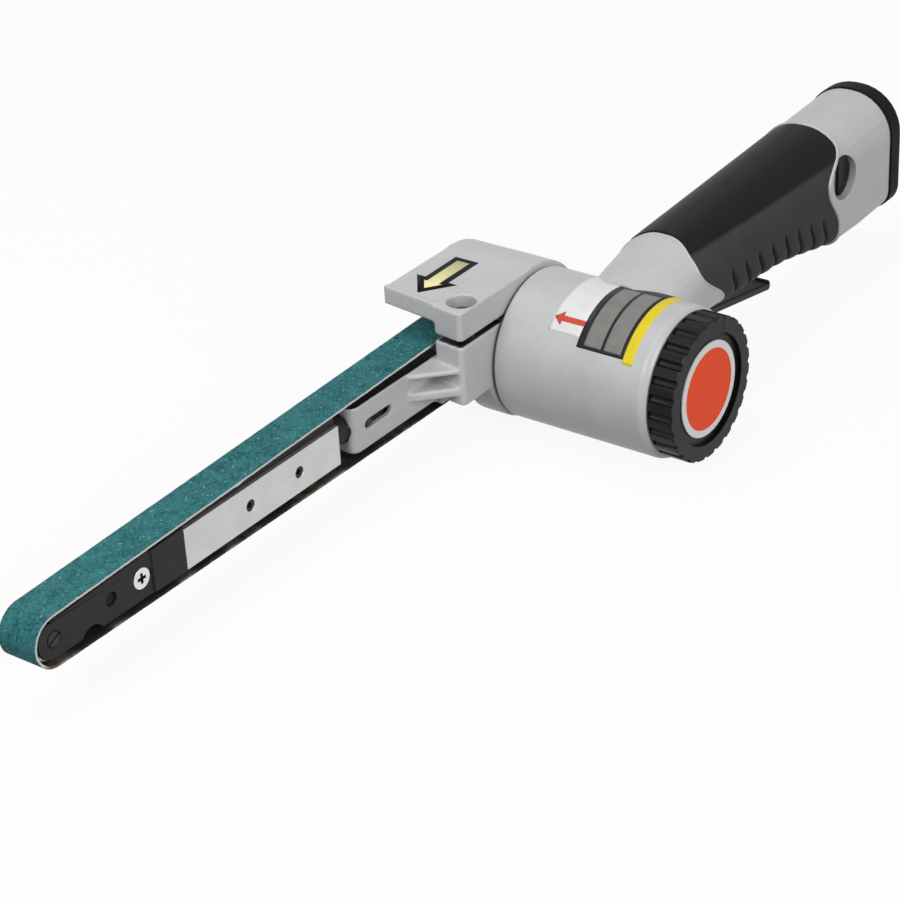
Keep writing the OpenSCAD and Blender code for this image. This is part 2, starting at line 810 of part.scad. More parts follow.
// Rear end plate with the pocket for its bearing
module rear_plate() {
    color("gray") place() difference() {
        bar_y(motor_bore_r - fit_gap, spigot_face, liner_rear);
        bar_y(rear_shaft_r + run_gap, spigot_face - over, liner_rear + over);
        bar_y(rear_bearing_r + fit_gap, spigot_face - over, spigot_face + rear_bearing_w + fit_gap);
    }
}

// Ball bearing, drawn as its closed outline with the shield grooves
module ball_bearing(r, bore, y_from, y_to) {
    groove = (y_to - y_from) / 14;
    difference() {
        bar_y(r, y_from, y_to);
        bar_y(bore, y_from - over, y_to + over);
        for (y = [y_from, y_to]) difference() {
            bar_y(r - (r - bore) / 4, y - groove, y + groove);
            bar_y(bore + (r - bore) / 4, y - groove - over, y + groove + over);
        }
    }
}

// Front bearing in the nose
module front_bearing() {
    color("silver") place()
        ball_bearing(bearing_r, shaft_r + run_gap, motor_floor + fit_gap, motor_floor + bearing_w - fit_gap);
}

// Rear bearing in the rear plate
module rear_bearing() {
    color("silver") place()
        ball_bearing(rear_bearing_r, rear_shaft_r + run_gap, spigot_face + fit_gap, spigot_face + rear_bearing_w);
}

// Rotor with its shaft and vane slots
module rotor() {
    rear = liner_rear + rotor_end_gap;
    front = liner_front - rotor_end_gap;
    color("gray") place() difference() {
        union() {
            bar_y(rotor_r, rear, front);
            bar_y(shaft_r, front - over, belt_w / 2 - fit_gap);
            bar_y(rear_shaft_r, spigot_face + fit_gap, rear + over);
        }
        vane_blocks(vane_t + fit_gap * 2, rotor_r - vane_depth - fit_gap, rotor_r + over, rear - over, front + over);
        bar_y(screw_shank_r + fit_gap, belt_w / 2 - screw_shank_len - over, belt_w / 2 + over);
    }
}

// Flat blocks standing round the motor axis
module vane_blocks(t, r_from, r_to, y_from, y_to) {
    for (i = [0:vane_count - 1]) {
        rotate([0, i * 360 / vane_count, 0]) translate([r_from, y_from, -t / 2])
            cube([r_to - r_from, y_to - y_from, t]);
    }
}

// Vanes in the rotor's slots
module vanes() {
    rear = liner_rear + rotor_end_gap;
    front = liner_front - rotor_end_gap;
    color("saddlebrown") place()
        vane_blocks(vane_t, rotor_r - vane_depth, rotor_r + seat_gap / 2, rear, front);
}

// Crowned drive pulley on the rotor's shaft
module drive_pulley() {
    half = belt_w / 2;
    edge = drive_r - pulley_edge;
    color("silver") place() difference() {
        union() {
            rotate([-90, 0, 0]) rotate_extrude()
                polygon([[0, -half], [edge, -half], [drive_r, -half / 3], [drive_r, half / 3], [edge, half], [0, half]]);
            bar_y(hub_r, nose_face + hub_gap, -half + fit_gap);
        }
        bar_y(shaft_r + fit_gap, nose_face, half + over);
    }
}

// Washer on the pulley's far side
module pulley_washer() {
    half = belt_w / 2 + fit_gap;
    color("silver") place() difference() {
        bar_y(washer_r, half, half + washer_t);
        bar_y(screw_shank_r + fit_gap, half - over, half + washer_t + over);
    }
}

// Screw that holds the pulley
module pulley_screw() {
    seat = belt_w / 2 + washer_t + fit_gap * 2;
    color("dimgray") place() difference() {
        union() {
            bar_y(screw_shank_r, belt_w / 2 - screw_shank_len, seat + over);
            bar_y(screw_head_r, seat, seat + screw_head_h);
        }
        translate([0, seat + screw_head_h - hex_key_depth, 0]) rotate([-90, 0, 0])
            cylinder(r = hex_key_r, h = hex_key_depth + over, $fn = 6);
    }
}

// Strip along the slanted front of the guard, from a near side to its far edge, as a plan
module front_strip(depth, y_near) {
    polygon([[front_x(y_near), y_near], [front_x(y_near) + depth, y_near], [front_x(guard_far) + depth, guard_far],
        [front_x(guard_far), guard_far]]);
}

// Plan of the clamp block with its round corner in front
module block_plan() {
    corner_x = block_corner * (sqrt(1 + front_slant * front_slant) + front_slant);
    polygon([[-block_front + corner_x, head_near], [-block_back, head_near], [-block_back, head_wall],
        [front_x(head_wall), head_wall], [front_x(head_near + block_corner), head_near + block_corner]]);
    translate([-block_front + corner_x, head_near + block_corner]) circle(block_corner);
}

// Half outline of the collar, with the length counted along -Y
module collar_outline() {
    translate([0, -head_wall]) square([collar_r - collar_edge, head_wall - head_near]);
    translate([0, -head_wall]) square([collar_r, head_wall - head_near - collar_edge]);
    translate([collar_r - collar_edge, -head_near - collar_edge]) circle(collar_edge);
}

// Side view of the guard's rear: flat top and a cowl round the rear
module guard_outline() {
    difference() {
        union() {
            circle(head_r);
            translate([-cowl_front, 0]) square([cowl_front, guard_z]);
        }
        circle(head_r - guard_t);
        translate([-head_r - over, -head_r]) square([head_r + over, head_r + guard_z - guard_t]);
        translate([-head_r, -head_r - over]) square([head_r * 2, head_r + over - guard_rear_drop]);
    }
}

// Cast head: clamp collar, guard and the hollow leg for the arm
module head() {
    color("lightgray") place() difference() {
        union() {
            rotate([90, 0, 0]) rotate_extrude() collar_outline();
            side(head_near, head_wall) translate([-block_back - over, -block_bottom])
                square([block_back + over, block_bottom + guard_z]);
            translate([0, 0, -block_bottom]) linear_extrude(block_bottom + guard_z) block_plan();
            intersection() {
                side(head_near, guard_far) guard_outline();
                translate([0, 0, -head_r]) linear_extrude(head_r * 2)
                    round_rect([-guard_front, head_near], [head_r + over, guard_far], guard_corner);
            }
            translate([0, 0, guard_z - guard_t]) linear_extrude(guard_t) front_strip(guard_front, head_wall - over);
            translate([0, 0, guard_z - lip_h]) linear_extrude(lip_h) front_strip(lip_t, head_wall - over);
            translate([0, 0, guard_z - lip_h]) linear_extrude(lip_h + rim_h) front_strip(rim_t, head_wall);
            translate([0, 0, leg_z - leg_h / 2]) linear_extrude(leg_h)
                round_rect([-leg_front, leg_near], [-leg_back, leg_far], leg_round);
            translate([-block_front + block_corner, head_wall - web_near, leg_z - leg_h / 2])
                cube([block_front - block_corner - leg_back, leg_near - head_wall + web_near * 2, leg_h]);
            gusset(rib_z, rib_t);
            gusset(low_rib_z, low_rib_t);
        }
        bar_y(nose_r + run_gap, head_near - over, head_wall + over);
        translate([-block_front - over, head_near - over, slit_z - slit_h / 2])
            cube([block_front + over, head_wall - head_near + over * 2, slit_h]);
        translate([clamp_x, clamp_y, guard_z - clamp_sink]) cylinder(r = clamp_sink_r, h = clamp_sink + over);
        translate([clamp_x, clamp_y, guard_z - clamp_sink - clamp_len])
            cylinder(r = clamp_r + fit_gap, h = clamp_len + over);
        bar_x(shank_r + run_gap, -leg_front - over, -leg_front + leg_bore_len, 0, leg_z);
        arm_slot();
    }
}

// Horizontal rib from the leg to the clamp block
module gusset(z, t) {
    translate([0, 0, z - t / 2]) linear_extrude(t) polygon([
        [-rib_front, leg_near + over],
        [-block_front + block_corner, leg_near + over],
        [-block_front + block_corner, head_near + rib_edge],
        [front_x(head_near + rib_edge), head_near + rib_edge],
        [-rib_front, leg_near - rib_edge]]);
}

// Slot in the leg's near side that the guide pin runs in
module arm_slot() {
    side(leg_near - over, leg_near / 2) {
        for (x = [slot_back + slot_h / 2, slot_front - slot_h / 2]) translate([-x, leg_z]) circle(slot_h / 2);
        translate([-slot_front + slot_h / 2, leg_z - slot_h / 2]) square([slot_front - slot_back - slot_h, slot_h]);
    }
}

// Clamp screw in the head's block
module clamp_screw() {
    seat = guard_z - clamp_sink + fit_gap;
    color("dimgray") place() translate([clamp_x, clamp_y, 0]) difference() {
        union() {
            translate([0, 0, seat]) cylinder(r = clamp_head_r, h = clamp_head_h);
            translate([0, 0, seat - clamp_len + over]) cylinder(r = clamp_r, h = clamp_len);
        }
        translate([0, 0, seat + clamp_head_h - hex_key_depth])
            cylinder(r = hex_key_r, h = hex_key_depth + over, $fn = 6);
    }
}

// Sanding belt round both pulleys
module belt() {
    color("teal") place() side(-belt_w / 2, belt_w / 2) difference() {
        loop(0);
        loop(belt_t);
    }
}

// Spring that pushes the arm out of the leg
module tension_spring() {
    front = -leg_front + shank_in;
    back = -leg_front + leg_bore_len;
    color("gray") place() translate([front + fit_gap, 0, leg_z]) rotate([0, 90, 0])
        coil(tension_r, tension_wire, back - front - fit_gap * 2, tension_turns);
}

// Bar between the belt's runs, with the shank that slides in the leg
module arm_bar() {
    color("black") place() difference() {
        union() {
            side(-arm_half_w, arm_half_w) intersection() {
                loop(belt_t + arm_clear);
                strip(fork_back, arm_back);
            }
            bar_x(shank_r, -arm_back, -leg_front + shank_in, 0, leg_z);
            bar_x(shank_r * shank_core_share, -arm_back - over, -leg_front, 0, leg_z);
        }
        translate([-leg_front + pin_in, -shank_r - over, leg_z]) rotate([-90, 0, 0])
            cylinder(r = pin_r + fit_gap, h = shank_r + over);
        plate_screw_places() bar_y(plate_hole_r - plate_screw_sink / 2 + fit_gap, -arm_half_w - over,
            -arm_half_w + plate_screw_len);
        translate([-fork_back - over, -tenon_half_w - fit_gap, plate_z - tenon_h / 2 - fit_gap])
            cube([tenon_len + over + fit_gap, (tenon_half_w + fit_gap) * 2, tenon_h + fit_gap * 2]);
    }
}

// Places of the side plate's screws
module plate_screw_places() {
    for (i = [0, 1]) {
        translate([-fork_back + plate_len * (plate_hole_share + i * plate_pitch_share), 0, plate_z]) children();
    }
}

// Pin that runs in the leg's slot
module guide_pin() {
    color("dimgray") place() translate([-leg_front + pin_in, leg_near + pin_sink, leg_z])
        rotate([-90, 0, 0]) cylinder(r = pin_r, h = -leg_near - pin_sink - fit_gap);
}

// Bright plate on the arm's near side
module side_plate() {
    color("lightgray") place() difference() {
        side(-arm_half_w - plate_t, -arm_half_w - fit_gap)
            translate([-fork_back + fit_gap, plate_z - plate_h / 2]) square([plate_len - fit_gap, plate_h]);
        plate_screw_places() bar_y(plate_hole_r + fit_gap, -arm_half_w - plate_t - over, -arm_half_w + over);
    }
}

// Screws sunk in the side plate
module plate_screws() {
    color("dimgray") place() plate_screw_places() difference() {
        union() {
            bar_y(plate_hole_r, -arm_half_w - plate_t + plate_screw_sink, -arm_half_w - fit_gap);
            bar_y(plate_hole_r - plate_screw_sink / 2, -arm_half_w - over, -arm_half_w + plate_screw_len - fit_gap);
        }
        translate([0, -arm_half_w - plate_t, 0]) rotate([-90, 0, 0])
            cylinder(r = hex_key_r / 2, h = plate_t, $fn = 6);
    }
}

// Fork that carries the tip pulley
module tip_fork() {
    pocket = tip_half_w + tip_pocket_gap;
    color("black") place() difference() {
        union() {
            side(-fork_half_w, fork_half_w) intersection() {
                loop(belt_t + arm_clear);
                strip(arm_reach + tip_belt_r, fork_back + fit_gap);
            }
            translate([-fork_back - over, -tenon_half_w, plate_z - tenon_h / 2])
                cube([tenon_len + over, tenon_half_w * 2, tenon_h]);
        }
        side(-pocket, pocket) strip(arm_reach + tip_belt_r + over, arm_reach - tip_r - tip_pocket_back);
        translate([-arm_reach - tip_belt_r, -fork_half_w - over, -head_r])
            cube([arm_reach + tip_belt_r - fork_back - fork_step_len, over + fork_step, head_r * 2]);
        bar_y(axle_r + fit_gap, -fork_half_w - over, fork_half_w + over, -arm_reach, -tip_drop);
        bar_y(axle_head_r + axle_ring_gap, -fork_half_w - over, -fork_half_w + fork_step + axle_head_t + fit_gap,
            -arm_reach, -tip_drop);
        bar_y(fork_arch_r, -fork_half_w - over, fork_half_w + over, fork_arch_x,
            -tip_drop - tip_r + fork_arch_h - fork_arch_r);
        bar_y(fork_screw_r + fit_gap, -fork_half_w - over, fork_screw_seat, fork_screw_x, plate_z);
        bar_y(fork_screw_shank_r + fit_gap, -fork_half_w, fork_screw_seat + fork_screw_len,
            fork_screw_x, plate_z);
        bar_y(fork_recess_r, -fork_half_w - over, -fork_half_w + fork_step + fork_recess,
            fork_recess_x, plate_z);
    }
}

// Cross-recessed screw in the fork
module fork_screw() {
    color("white") place() translate([fork_screw_x, 0, plate_z]) difference() {
        union() {
            bar_y(fork_screw_r, fork_screw_seat - fork_screw_head, fork_screw_seat - fit_gap);
            bar_y(fork_screw_shank_r, fork_screw_seat - fork_screw_head, fork_screw_seat + fork_screw_len - fit_gap);
        }
        for (a = [0, 90]) rotate([0, a, 0])
            translate([-fork_screw_r * cross_share, fork_screw_seat - fork_screw_head - over, -cross_w / 2])
                cube([fork_screw_r * cross_share * 2, over + cross_depth, cross_w]);
    }
}

// Axle of the tip pulley, slotted at its near end
module tip_axle() {
    near = -fork_half_w + fork_step;
    color("gray") place() difference() {
        union() {
            bar_y(axle_r, near, fork_half_w, -arm_reach, -tip_drop);
            bar_y(axle_head_r, near, near + axle_head_t, -arm_reach, -tip_drop);
        }
        translate([-arm_reach, near - over, -tip_drop]) rotate([0, -axle_slot_turn, 0])
            translate([-axle_head_r - over, 0, -axle_slot / 2])
            cube([(axle_head_r + over) * 2, over + axle_slot, axle_slot]);
    }
}

// Crowned tip pulley
module tip_pulley() {
    edge = tip_r - tip_crown;
    color("silver") place() translate([-arm_reach, 0, -tip_drop]) difference() {
        rotate([-90, 0, 0]) rotate_extrude() polygon([[0, -tip_half_w], [edge, -tip_half_w],
            [tip_r, -tip_half_w / 3], [tip_r, tip_half_w / 3], [edge, tip_half_w], [0, tip_half_w]]);
        bar_y(tip_bearing_r + fit_gap, -tip_half_w - over, tip_half_w + over);
    }
}

// Needle bearing in the tip pulley
module tip_bearing() {
    color("darkgray") place() translate([-arm_reach, 0, -tip_drop])
        ball_bearing(tip_bearing_r, axle_r + run_gap, -tip_half_w, tip_half_w);
}

motor_housing();
handle_body();
air_stub();
grip();
end_cap();
cap_screws();
inlet_bush();
inlet_screen();
silencer();
regulator();
regulator_seal();
valve_bush();
valve_stem();
valve_seal();
valve_spring();
lever();
lever_pin();
lock_ring();
end_disc();
liner();
front_plate();
rear_plate();
front_bearing();
rear_bearing();
rotor();
vanes();
drive_pulley();
pulley_washer();
pulley_screw();
head();
clamp_screw();
belt();
tension_spring();
arm_bar();
guide_pin();
side_plate();
plate_screws();
tip_fork();
fork_screw();
tip_axle();
tip_pulley();
tip_bearing();
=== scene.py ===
import json
import math
import bmesh
import bpy
import numpy as np
from mathutils import Matrix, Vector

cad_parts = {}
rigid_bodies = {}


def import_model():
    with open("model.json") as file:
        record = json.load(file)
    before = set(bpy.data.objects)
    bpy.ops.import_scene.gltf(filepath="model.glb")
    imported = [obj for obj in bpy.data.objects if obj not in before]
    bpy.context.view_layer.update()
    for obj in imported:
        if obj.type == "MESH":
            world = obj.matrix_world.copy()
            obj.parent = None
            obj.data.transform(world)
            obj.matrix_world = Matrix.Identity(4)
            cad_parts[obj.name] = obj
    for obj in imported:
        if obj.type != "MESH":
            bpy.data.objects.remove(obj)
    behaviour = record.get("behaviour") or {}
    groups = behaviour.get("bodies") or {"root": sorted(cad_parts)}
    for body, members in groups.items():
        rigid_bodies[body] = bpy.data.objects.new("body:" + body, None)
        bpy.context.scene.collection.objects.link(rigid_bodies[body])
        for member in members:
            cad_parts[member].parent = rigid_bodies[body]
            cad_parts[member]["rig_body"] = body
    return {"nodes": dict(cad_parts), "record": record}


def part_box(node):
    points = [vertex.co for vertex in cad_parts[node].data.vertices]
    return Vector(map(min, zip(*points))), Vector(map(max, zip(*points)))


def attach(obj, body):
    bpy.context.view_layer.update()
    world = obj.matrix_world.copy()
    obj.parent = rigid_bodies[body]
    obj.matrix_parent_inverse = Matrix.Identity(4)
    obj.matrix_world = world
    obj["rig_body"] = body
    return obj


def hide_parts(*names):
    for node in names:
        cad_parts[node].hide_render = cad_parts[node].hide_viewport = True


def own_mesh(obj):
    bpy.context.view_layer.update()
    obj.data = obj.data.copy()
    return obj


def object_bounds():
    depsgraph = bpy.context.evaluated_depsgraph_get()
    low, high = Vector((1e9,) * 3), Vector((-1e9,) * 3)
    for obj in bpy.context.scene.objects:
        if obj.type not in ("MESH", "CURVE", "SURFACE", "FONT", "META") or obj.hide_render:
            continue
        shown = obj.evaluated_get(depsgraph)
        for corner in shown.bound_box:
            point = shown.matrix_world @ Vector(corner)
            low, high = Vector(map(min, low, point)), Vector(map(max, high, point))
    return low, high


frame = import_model()
nodes = frame["nodes"]
cadBox = [list(corner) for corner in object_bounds()]
print("frame loaded with", len(nodes), "nodes")

toolZero = np.array([156.0, -46.8, 13.0])  # mouth of the inlet, in the drawing's own millimetres


def inPlace(mm):
    # drawing millimetres to metres from the inlet
    return (np.asarray(mm, float) - toolZero) / 1000.0


# camera at the photograph's angle, for a 900 x 900 picture
view = {
    "eye": (-0.72622, -0.37882, 0.34615),
    "right": (0.58874757, -0.8067515, -0.05028243),
    "up": (0.42398996, 0.2552584, 0.8689509),
    "back": (-0.68819242, -0.53291197, 0.4923373),
    "lens": 103.318,
}
cameraData = bpy.data.cameras.new("studioCamera")
cameraData.sensor_fit = "HORIZONTAL"
cameraData.sensor_width = 36.0
cameraData.lens = view["lens"]
cameraData.clip_start = 0.01
camera = bpy.data.objects.new("studioCamera", cameraData)
camera.matrix_world = Matrix([
    (view["right"][i], view["up"][i], view["back"][i], view["eye"][i]) for i in range(3)] + [(0, 0, 0, 1)])
bpy.context.scene.collection.objects.link(camera)
bpy.context.scene.camera = camera
print("camera set")


def startFinish(name):
    material = bpy.data.materials.new(name)
    material.use_nodes = True
    tree = material.node_tree
    return material, tree, tree.nodes["Principled BSDF"]


def put(tree, kind, values=None, **settings):
    node = tree.nodes.new(kind)
    for key, value in settings.items():
        setattr(node, key, value)
    for key, value in (values or {}).items():
        node.inputs[key].default_value = value
    return node


def spot(tree, stretch=(1, 1, 1), turn=(0, 0, 0), centre=(0, 0, 0)):
    # object coordinates, centred, turned and stretched for a pattern
    where = put(tree, "ShaderNodeTexCoord")
    mapping = put(tree, "ShaderNodeMapping", {"Location": centre, "Rotation": turn, "Scale": stretch})
    tree.links.new(where.outputs["Object"], mapping.inputs["Vector"])
    return mapping.outputs["Vector"]


def speckle(tree, where, scale, detail=3.0, rough=0.55):
    noise = put(tree, "ShaderNodeTexNoise", {"Scale": scale, "Detail": detail, "Roughness": rough})
    tree.links.new(where, noise.inputs["Vector"])
    return noise.outputs["Fac"]


def remap(tree, value, low, high, toLow, toHigh, smooth=False):
    node = put(tree, "ShaderNodeMapRange", {
        "From Min": low, "From Max": high, "To Min": toLow, "To Max": toHigh})
    if smooth:
        node.interpolation_type = "SMOOTHSTEP"
    tree.links.new(value, node.inputs["Value"])
    return node.outputs["Result"]


def blendColours(tree, share, first, second):
    node = put(tree, "ShaderNodeMix", data_type="RGBA")
    tree.links.new(share, node.inputs["Factor"])
    for socket, colour in ((node.inputs[6], first), (node.inputs[7], second)):
        if isinstance(colour, tuple):
            socket.default_value = colour + (1.0,)
        else:
            tree.links.new(colour, socket)
    return node.outputs[2]


def calc(tree, kind, first, second=None):
    node = put(tree, "ShaderNodeMath", operation=kind)
    for socket, value in ((node.inputs[0], first), (node.inputs[1], second)):
        if value is None:
            continue
        if isinstance(value, (int, float)):
            socket.default_value = value
        else:
            tree.links.new(value, socket)
    return node.outputs[0]


def emboss(tree, shader, heights):
    # stacks bumps, each one given as height, strength and depth in metres
    normal = None
    for height, strength, depth in heights:
        node = put(tree, "ShaderNodeBump", {"Strength": strength, "Distance": depth})
        tree.links.new(height, node.inputs["Height"])
        if normal is not None:
            tree.links.new(normal, node.inputs["Normal"])
        normal = node.outputs["Normal"]
    tree.links.new(normal, shader.inputs["Normal"])


mixing = {  # shares of the two patterns, spans of them that are used, and their bumps
    "cloudShare": 0.65, "grainShare": 0.35, "toneSpan": (0.32, 0.68), "roughSpan": (0.3, 0.7),
    "cloudDetail": 4.0, "grainDetail": 2.0, "cloudBump": (0.05, 0.0005), "grainBump": 0.35, "coatRough": 0.16,
}


def plainFinish(name, dark, pale, metal, rough, mottle, grain, depth,
                stretch=(1, 1, 1), coat=0.0, sheen=0.0, gloss=0.5):
    # two close tones in soft clouds, roughness that follows them and a fine grain in the surface
    material, tree, shader = startFinish(name)
    where = spot(tree)
    streak = spot(tree, stretch)
    clouds = speckle(tree, where, mottle, mixing["cloudDetail"])
    grit = speckle(tree, streak, grain, mixing["grainDetail"])
    tone = calc(tree, "ADD", calc(tree, "MULTIPLY", clouds, mixing["cloudShare"]),
                calc(tree, "MULTIPLY", grit, mixing["grainShare"]))
    colour = blendColours(tree, remap(tree, tone, *mixing["toneSpan"], 0.0, 1.0), dark, pale)
    tree.links.new(colour, shader.inputs["Base Color"])
    tree.links.new(remap(tree, tone, *mixing["roughSpan"], *rough), shader.inputs["Roughness"])
    shader.inputs["Metallic"].default_value = metal
    shader.inputs["Coat Weight"].default_value = coat
    shader.inputs["Coat Roughness"].default_value = mixing["coatRough"]
    shader.inputs["Sheen Weight"].default_value = sheen
    shader.inputs["Specular IOR Level"].default_value = gloss
    emboss(tree, shader, [(clouds, *mixing["cloudBump"]), (grit, mixing["grainBump"], depth)])
    return material


finishes = {
    "casting": plainFinish(
        "castGrey", dark=(0.45, 0.453, 0.462), pale=(0.515, 0.518, 0.527), metal=0.05,
        rough=(0.36, 0.46), mottle=90, grain=1400, depth=0.00003, coat=0.06, gloss=0.4),
    "black_plastic": plainFinish(
        "capPlastic", dark=(0.0035, 0.0035, 0.004), pale=(0.007, 0.007, 0.0075), metal=0.0,
        rough=(0.46, 0.58), mottle=140, grain=2600, depth=0.00004, gloss=0.06),
    "dark_plastic": plainFinish(
        "regulatorPlastic", dark=(0.015, 0.015, 0.017), pale=(0.026, 0.026, 0.028), metal=0.0,
        rough=(0.42, 0.55), mottle=200, grain=2400, depth=0.00003, gloss=0.15),
    "ring_black": plainFinish(
        "ringBlack", dark=(0.0025, 0.0026, 0.0028), pale=(0.005, 0.0051, 0.0053), metal=0.0,
        rough=(0.32, 0.44), mottle=160, grain=2200, depth=0.00002, gloss=0.16),
    "black_paint": plainFinish(
        "blackOxide", dark=(0.016, 0.0158, 0.016), pale=(0.03, 0.0295, 0.03), metal=0.0,
        rough=(0.42, 0.56), mottle=180, grain=2600, depth=0.00003, gloss=0.16),
    "plate_steel": plainFinish(
        "rolledSteel", dark=(0.53, 0.533, 0.54), pale=(0.635, 0.638, 0.645), metal=0.8,
        rough=(0.3, 0.44), mottle=120, grain=260, depth=0.00002, stretch=(1, 14, 14)),
    "bright_steel": plainFinish(
        "brightPlate", dark=(0.66, 0.66, 0.66), pale=(0.82, 0.82, 0.82), metal=0.9,
        rough=(0.24, 0.34), mottle=200, grain=900, depth=0.000004),
    "dark_steel": plainFinish(
        "blackenedSteel", dark=(0.02, 0.02, 0.022), pale=(0.045, 0.045, 0.047), metal=0.6,
        rough=(0.36, 0.48), mottle=220, grain=2000, depth=0.00002, gloss=0.3),
    "spring_steel": plainFinish(
        "groundSteel", dark=(0.3, 0.3, 0.305), pale=(0.46, 0.46, 0.465), metal=0.9,
        rough=(0.28, 0.38), mottle=200, grain=1500, depth=0.000004),
    "pulley_aluminium": plainFinish(
        "turnedAluminium", dark=(0.5, 0.5, 0.505), pale=(0.64, 0.64, 0.645), metal=0.9,
        rough=(0.28, 0.38), mottle=120, grain=500, depth=0.000006, stretch=(1, 12, 1)),
    "screen_brass": plainFinish(
        "turnedBrass", dark=(0.5, 0.36, 0.13), pale=(0.68, 0.5, 0.2), metal=0.9,
        rough=(0.25, 0.4), mottle=160, grain=900, depth=0.00002),
    "felt": plainFinish(
        "pressedFelt", dark=(0.12, 0.12, 0.12), pale=(0.24, 0.24, 0.235), metal=0.0,
        rough=(0.9, 1.0), mottle=260, grain=1600, depth=0.0002, sheen=0.4),
    "seal_rubber": plainFinish(
        "sealRubber", dark=(0.01, 0.01, 0.01), pale=(0.022, 0.022, 0.022), metal=0.0,
        rough=(0.5, 0.62), mottle=200, grain=1800, depth=0.00002, gloss=0.3),
    "vane_laminate": plainFinish(
        "vaneLaminate", dark=(0.2, 0.12, 0.06), pale=(0.33, 0.21, 0.11), metal=0.0,
        rough=(0.5, 0.65), mottle=140, grain=300, depth=0.00003, stretch=(1, 1, 16)),
}


def slitFinish(slit):
    # head casting with painted shade in its clamp slit and on the leg top under the belt, found by their
    # place
    material = plainFinish(
        "headGrey", dark=slit["dark"], pale=slit["pale"], metal=0.05,
        rough=(0.38, 0.48), mottle=90, grain=1300, depth=0.00003, coat=0.06, gloss=0.4)
    tree = material.node_tree
    shader = tree.nodes["Principled BSDF"]
    split = put(tree, "ShaderNodeSeparateXYZ")
    tree.links.new(spot(tree), split.inputs[0])
    paintedShadeMask = 0.0
    for box in slit["boxes"]:
        inside = 1.0
        for axis, (low, high) in box.items():
            rise = remap(tree, split.outputs[axis], low - slit["fade"], low + slit["fade"], 0.0, 1.0)
            fall = remap(tree, split.outputs[axis], high - slit["fade"], high + slit["fade"], 1.0, 0.0)
            inside = calc(tree, "MULTIPLY", calc(tree, "MULTIPLY", rise, fall), inside)
        paintedShadeMask = calc(tree, "MAXIMUM", inside, paintedShadeMask)
    baseTone = shader.inputs["Base Color"].links[0].from_socket
    # painted shade: near-black colour laid inside the boxes
    tree.links.new(blendColours(tree, paintedShadeMask, baseTone, slit["paintedShade"]), shader.inputs["Base Color"])
    return material


# boxes of painted shade: in the clamp slit, and on the leg top in the gap under the belt
slit = {  # metres from the inlet
    "boxes": ({"X": (-0.1928, -0.1722), "Y": (0.0279, 0.0381), "Z": (0.00035, 0.00245)},
              {"X": (-0.2305, -0.1875), "Y": (0.0399, 0.054), "Z": (-0.0063, -0.005)}), "fade": 0.0001,
    "dark": (0.47, 0.473, 0.478), "pale": (0.54, 0.543, 0.548), "paintedShade": (0.006, 0.006, 0.006),
}
finishes["head_casting"] = slitFinish(slit)


def gripRubberFinish(tones):
    # smooth crown above the crease, darker partly as smooth moulding and mostly as painted shade and dark
    # reflection, and a lighter fine texture on the sides below it
    material, tree, shader = startFinish("gripRubber")
    where = spot(tree)
    split = put(tree, "ShaderNodeSeparateXYZ")
    tree.links.new(where, split.inputs[0])
    clouds = speckle(tree, where, tones["mottle"], mixing["cloudDetail"])
    grain = speckle(tree, where, tones["grain"], mixing["grainDetail"])
    crease, half = tones["creaseZ"], tones["creaseHalf"]
    low = remap(tree, split.outputs["Z"], crease - half, crease + half, 1.0, 0.0, True)
    side = blendColours(tree, clouds, tones["sideDark"], tones["sidePale"])
    crown = blendColours(tree, clouds, tones["crownDarkWithShade"], tones["crownPaleWithShade"])
    groove = put(tree, "ShaderNodeAttribute", attribute_name="grooveShade")
    skin = blendColours(tree, low, crown, side)
    # painted shade: the finger grooves are coloured near black by the grooveShade attribute
    colour = blendColours(tree, groove.outputs["Fac"], skin, tones["groove"])
    tree.links.new(colour, shader.inputs["Base Color"])
    tree.links.new(remap(tree, low, 0.0, 1.0, *tones["rough"]), shader.inputs["Roughness"])
    shader.inputs["Specular IOR Level"].default_value = tones["gloss"]
    texture = calc(tree, "MULTIPLY", grain, low)
    emboss(tree, shader, [(clouds, *tones["cloudBump"]), (texture, *tones["grainBump"])])
    return material


gripTones = {
    "creaseZ": 0.013, "creaseHalf": 0.0008, "mottle": 110, "grain": 2800,
    "rough": (0.46, 0.68), "gloss": 0.09,
    "cloudBump": (0.08, 0.0004), "grainBump": (0.5, 0.00008), "groove": (0.006, 0.006, 0.006),
    "sideDark": (0.04, 0.04, 0.041), "sidePale": (0.058, 0.058, 0.059),
    # crown tones far darker than the sides: partly the smooth moulding, mostly painted shade and dark
    # reflection
    "crownDarkWithShade": (0.004, 0.004, 0.0045), "crownPaleWithShade": (0.008, 0.008, 0.0085),
}
finishes["grip_rubber"] = gripRubberFinish(gripTones)


def discFinish(disc):
    # printed film: a coloured field inside a white rim, by the distance from the motor's axis
    material, tree, shader = startFinish("discFilm")
    where = spot(tree, centre=disc["axisTo"])
    split = put(tree, "ShaderNodeSeparateXYZ")
    tree.links.new(where, split.inputs[0])
    square = calc(tree, "ADD", calc(tree, "MULTIPLY", split.outputs["X"], split.outputs["X"]),
                  calc(tree, "MULTIPLY", split.outputs["Z"], split.outputs["Z"]))
    reach = calc(tree, "SQRT", square)
    dots = speckle(tree, where, disc["dots"], mixing["grainDetail"])
    even = remap(tree, dots, *disc["dotSpan"], 0.0, 1.0)
    field = blendColours(tree, even, disc["fieldDark"], disc["fieldPale"])
    rim = blendColours(tree, dots, disc["rimDark"], disc["rimPale"])
    outside = remap(tree, reach, disc["fieldR"] - disc["blur"], disc["fieldR"] + disc["blur"], 0.0, 1.0)
    tree.links.new(blendColours(tree, outside, field, rim), shader.inputs["Base Color"])
    tree.links.new(remap(tree, dots, *mixing["roughSpan"], *disc["rough"]), shader.inputs["Roughness"])
    shader.inputs["Specular IOR Level"].default_value = disc["gloss"]
    emboss(tree, shader, [(dots, *disc["bump"])])
    return material


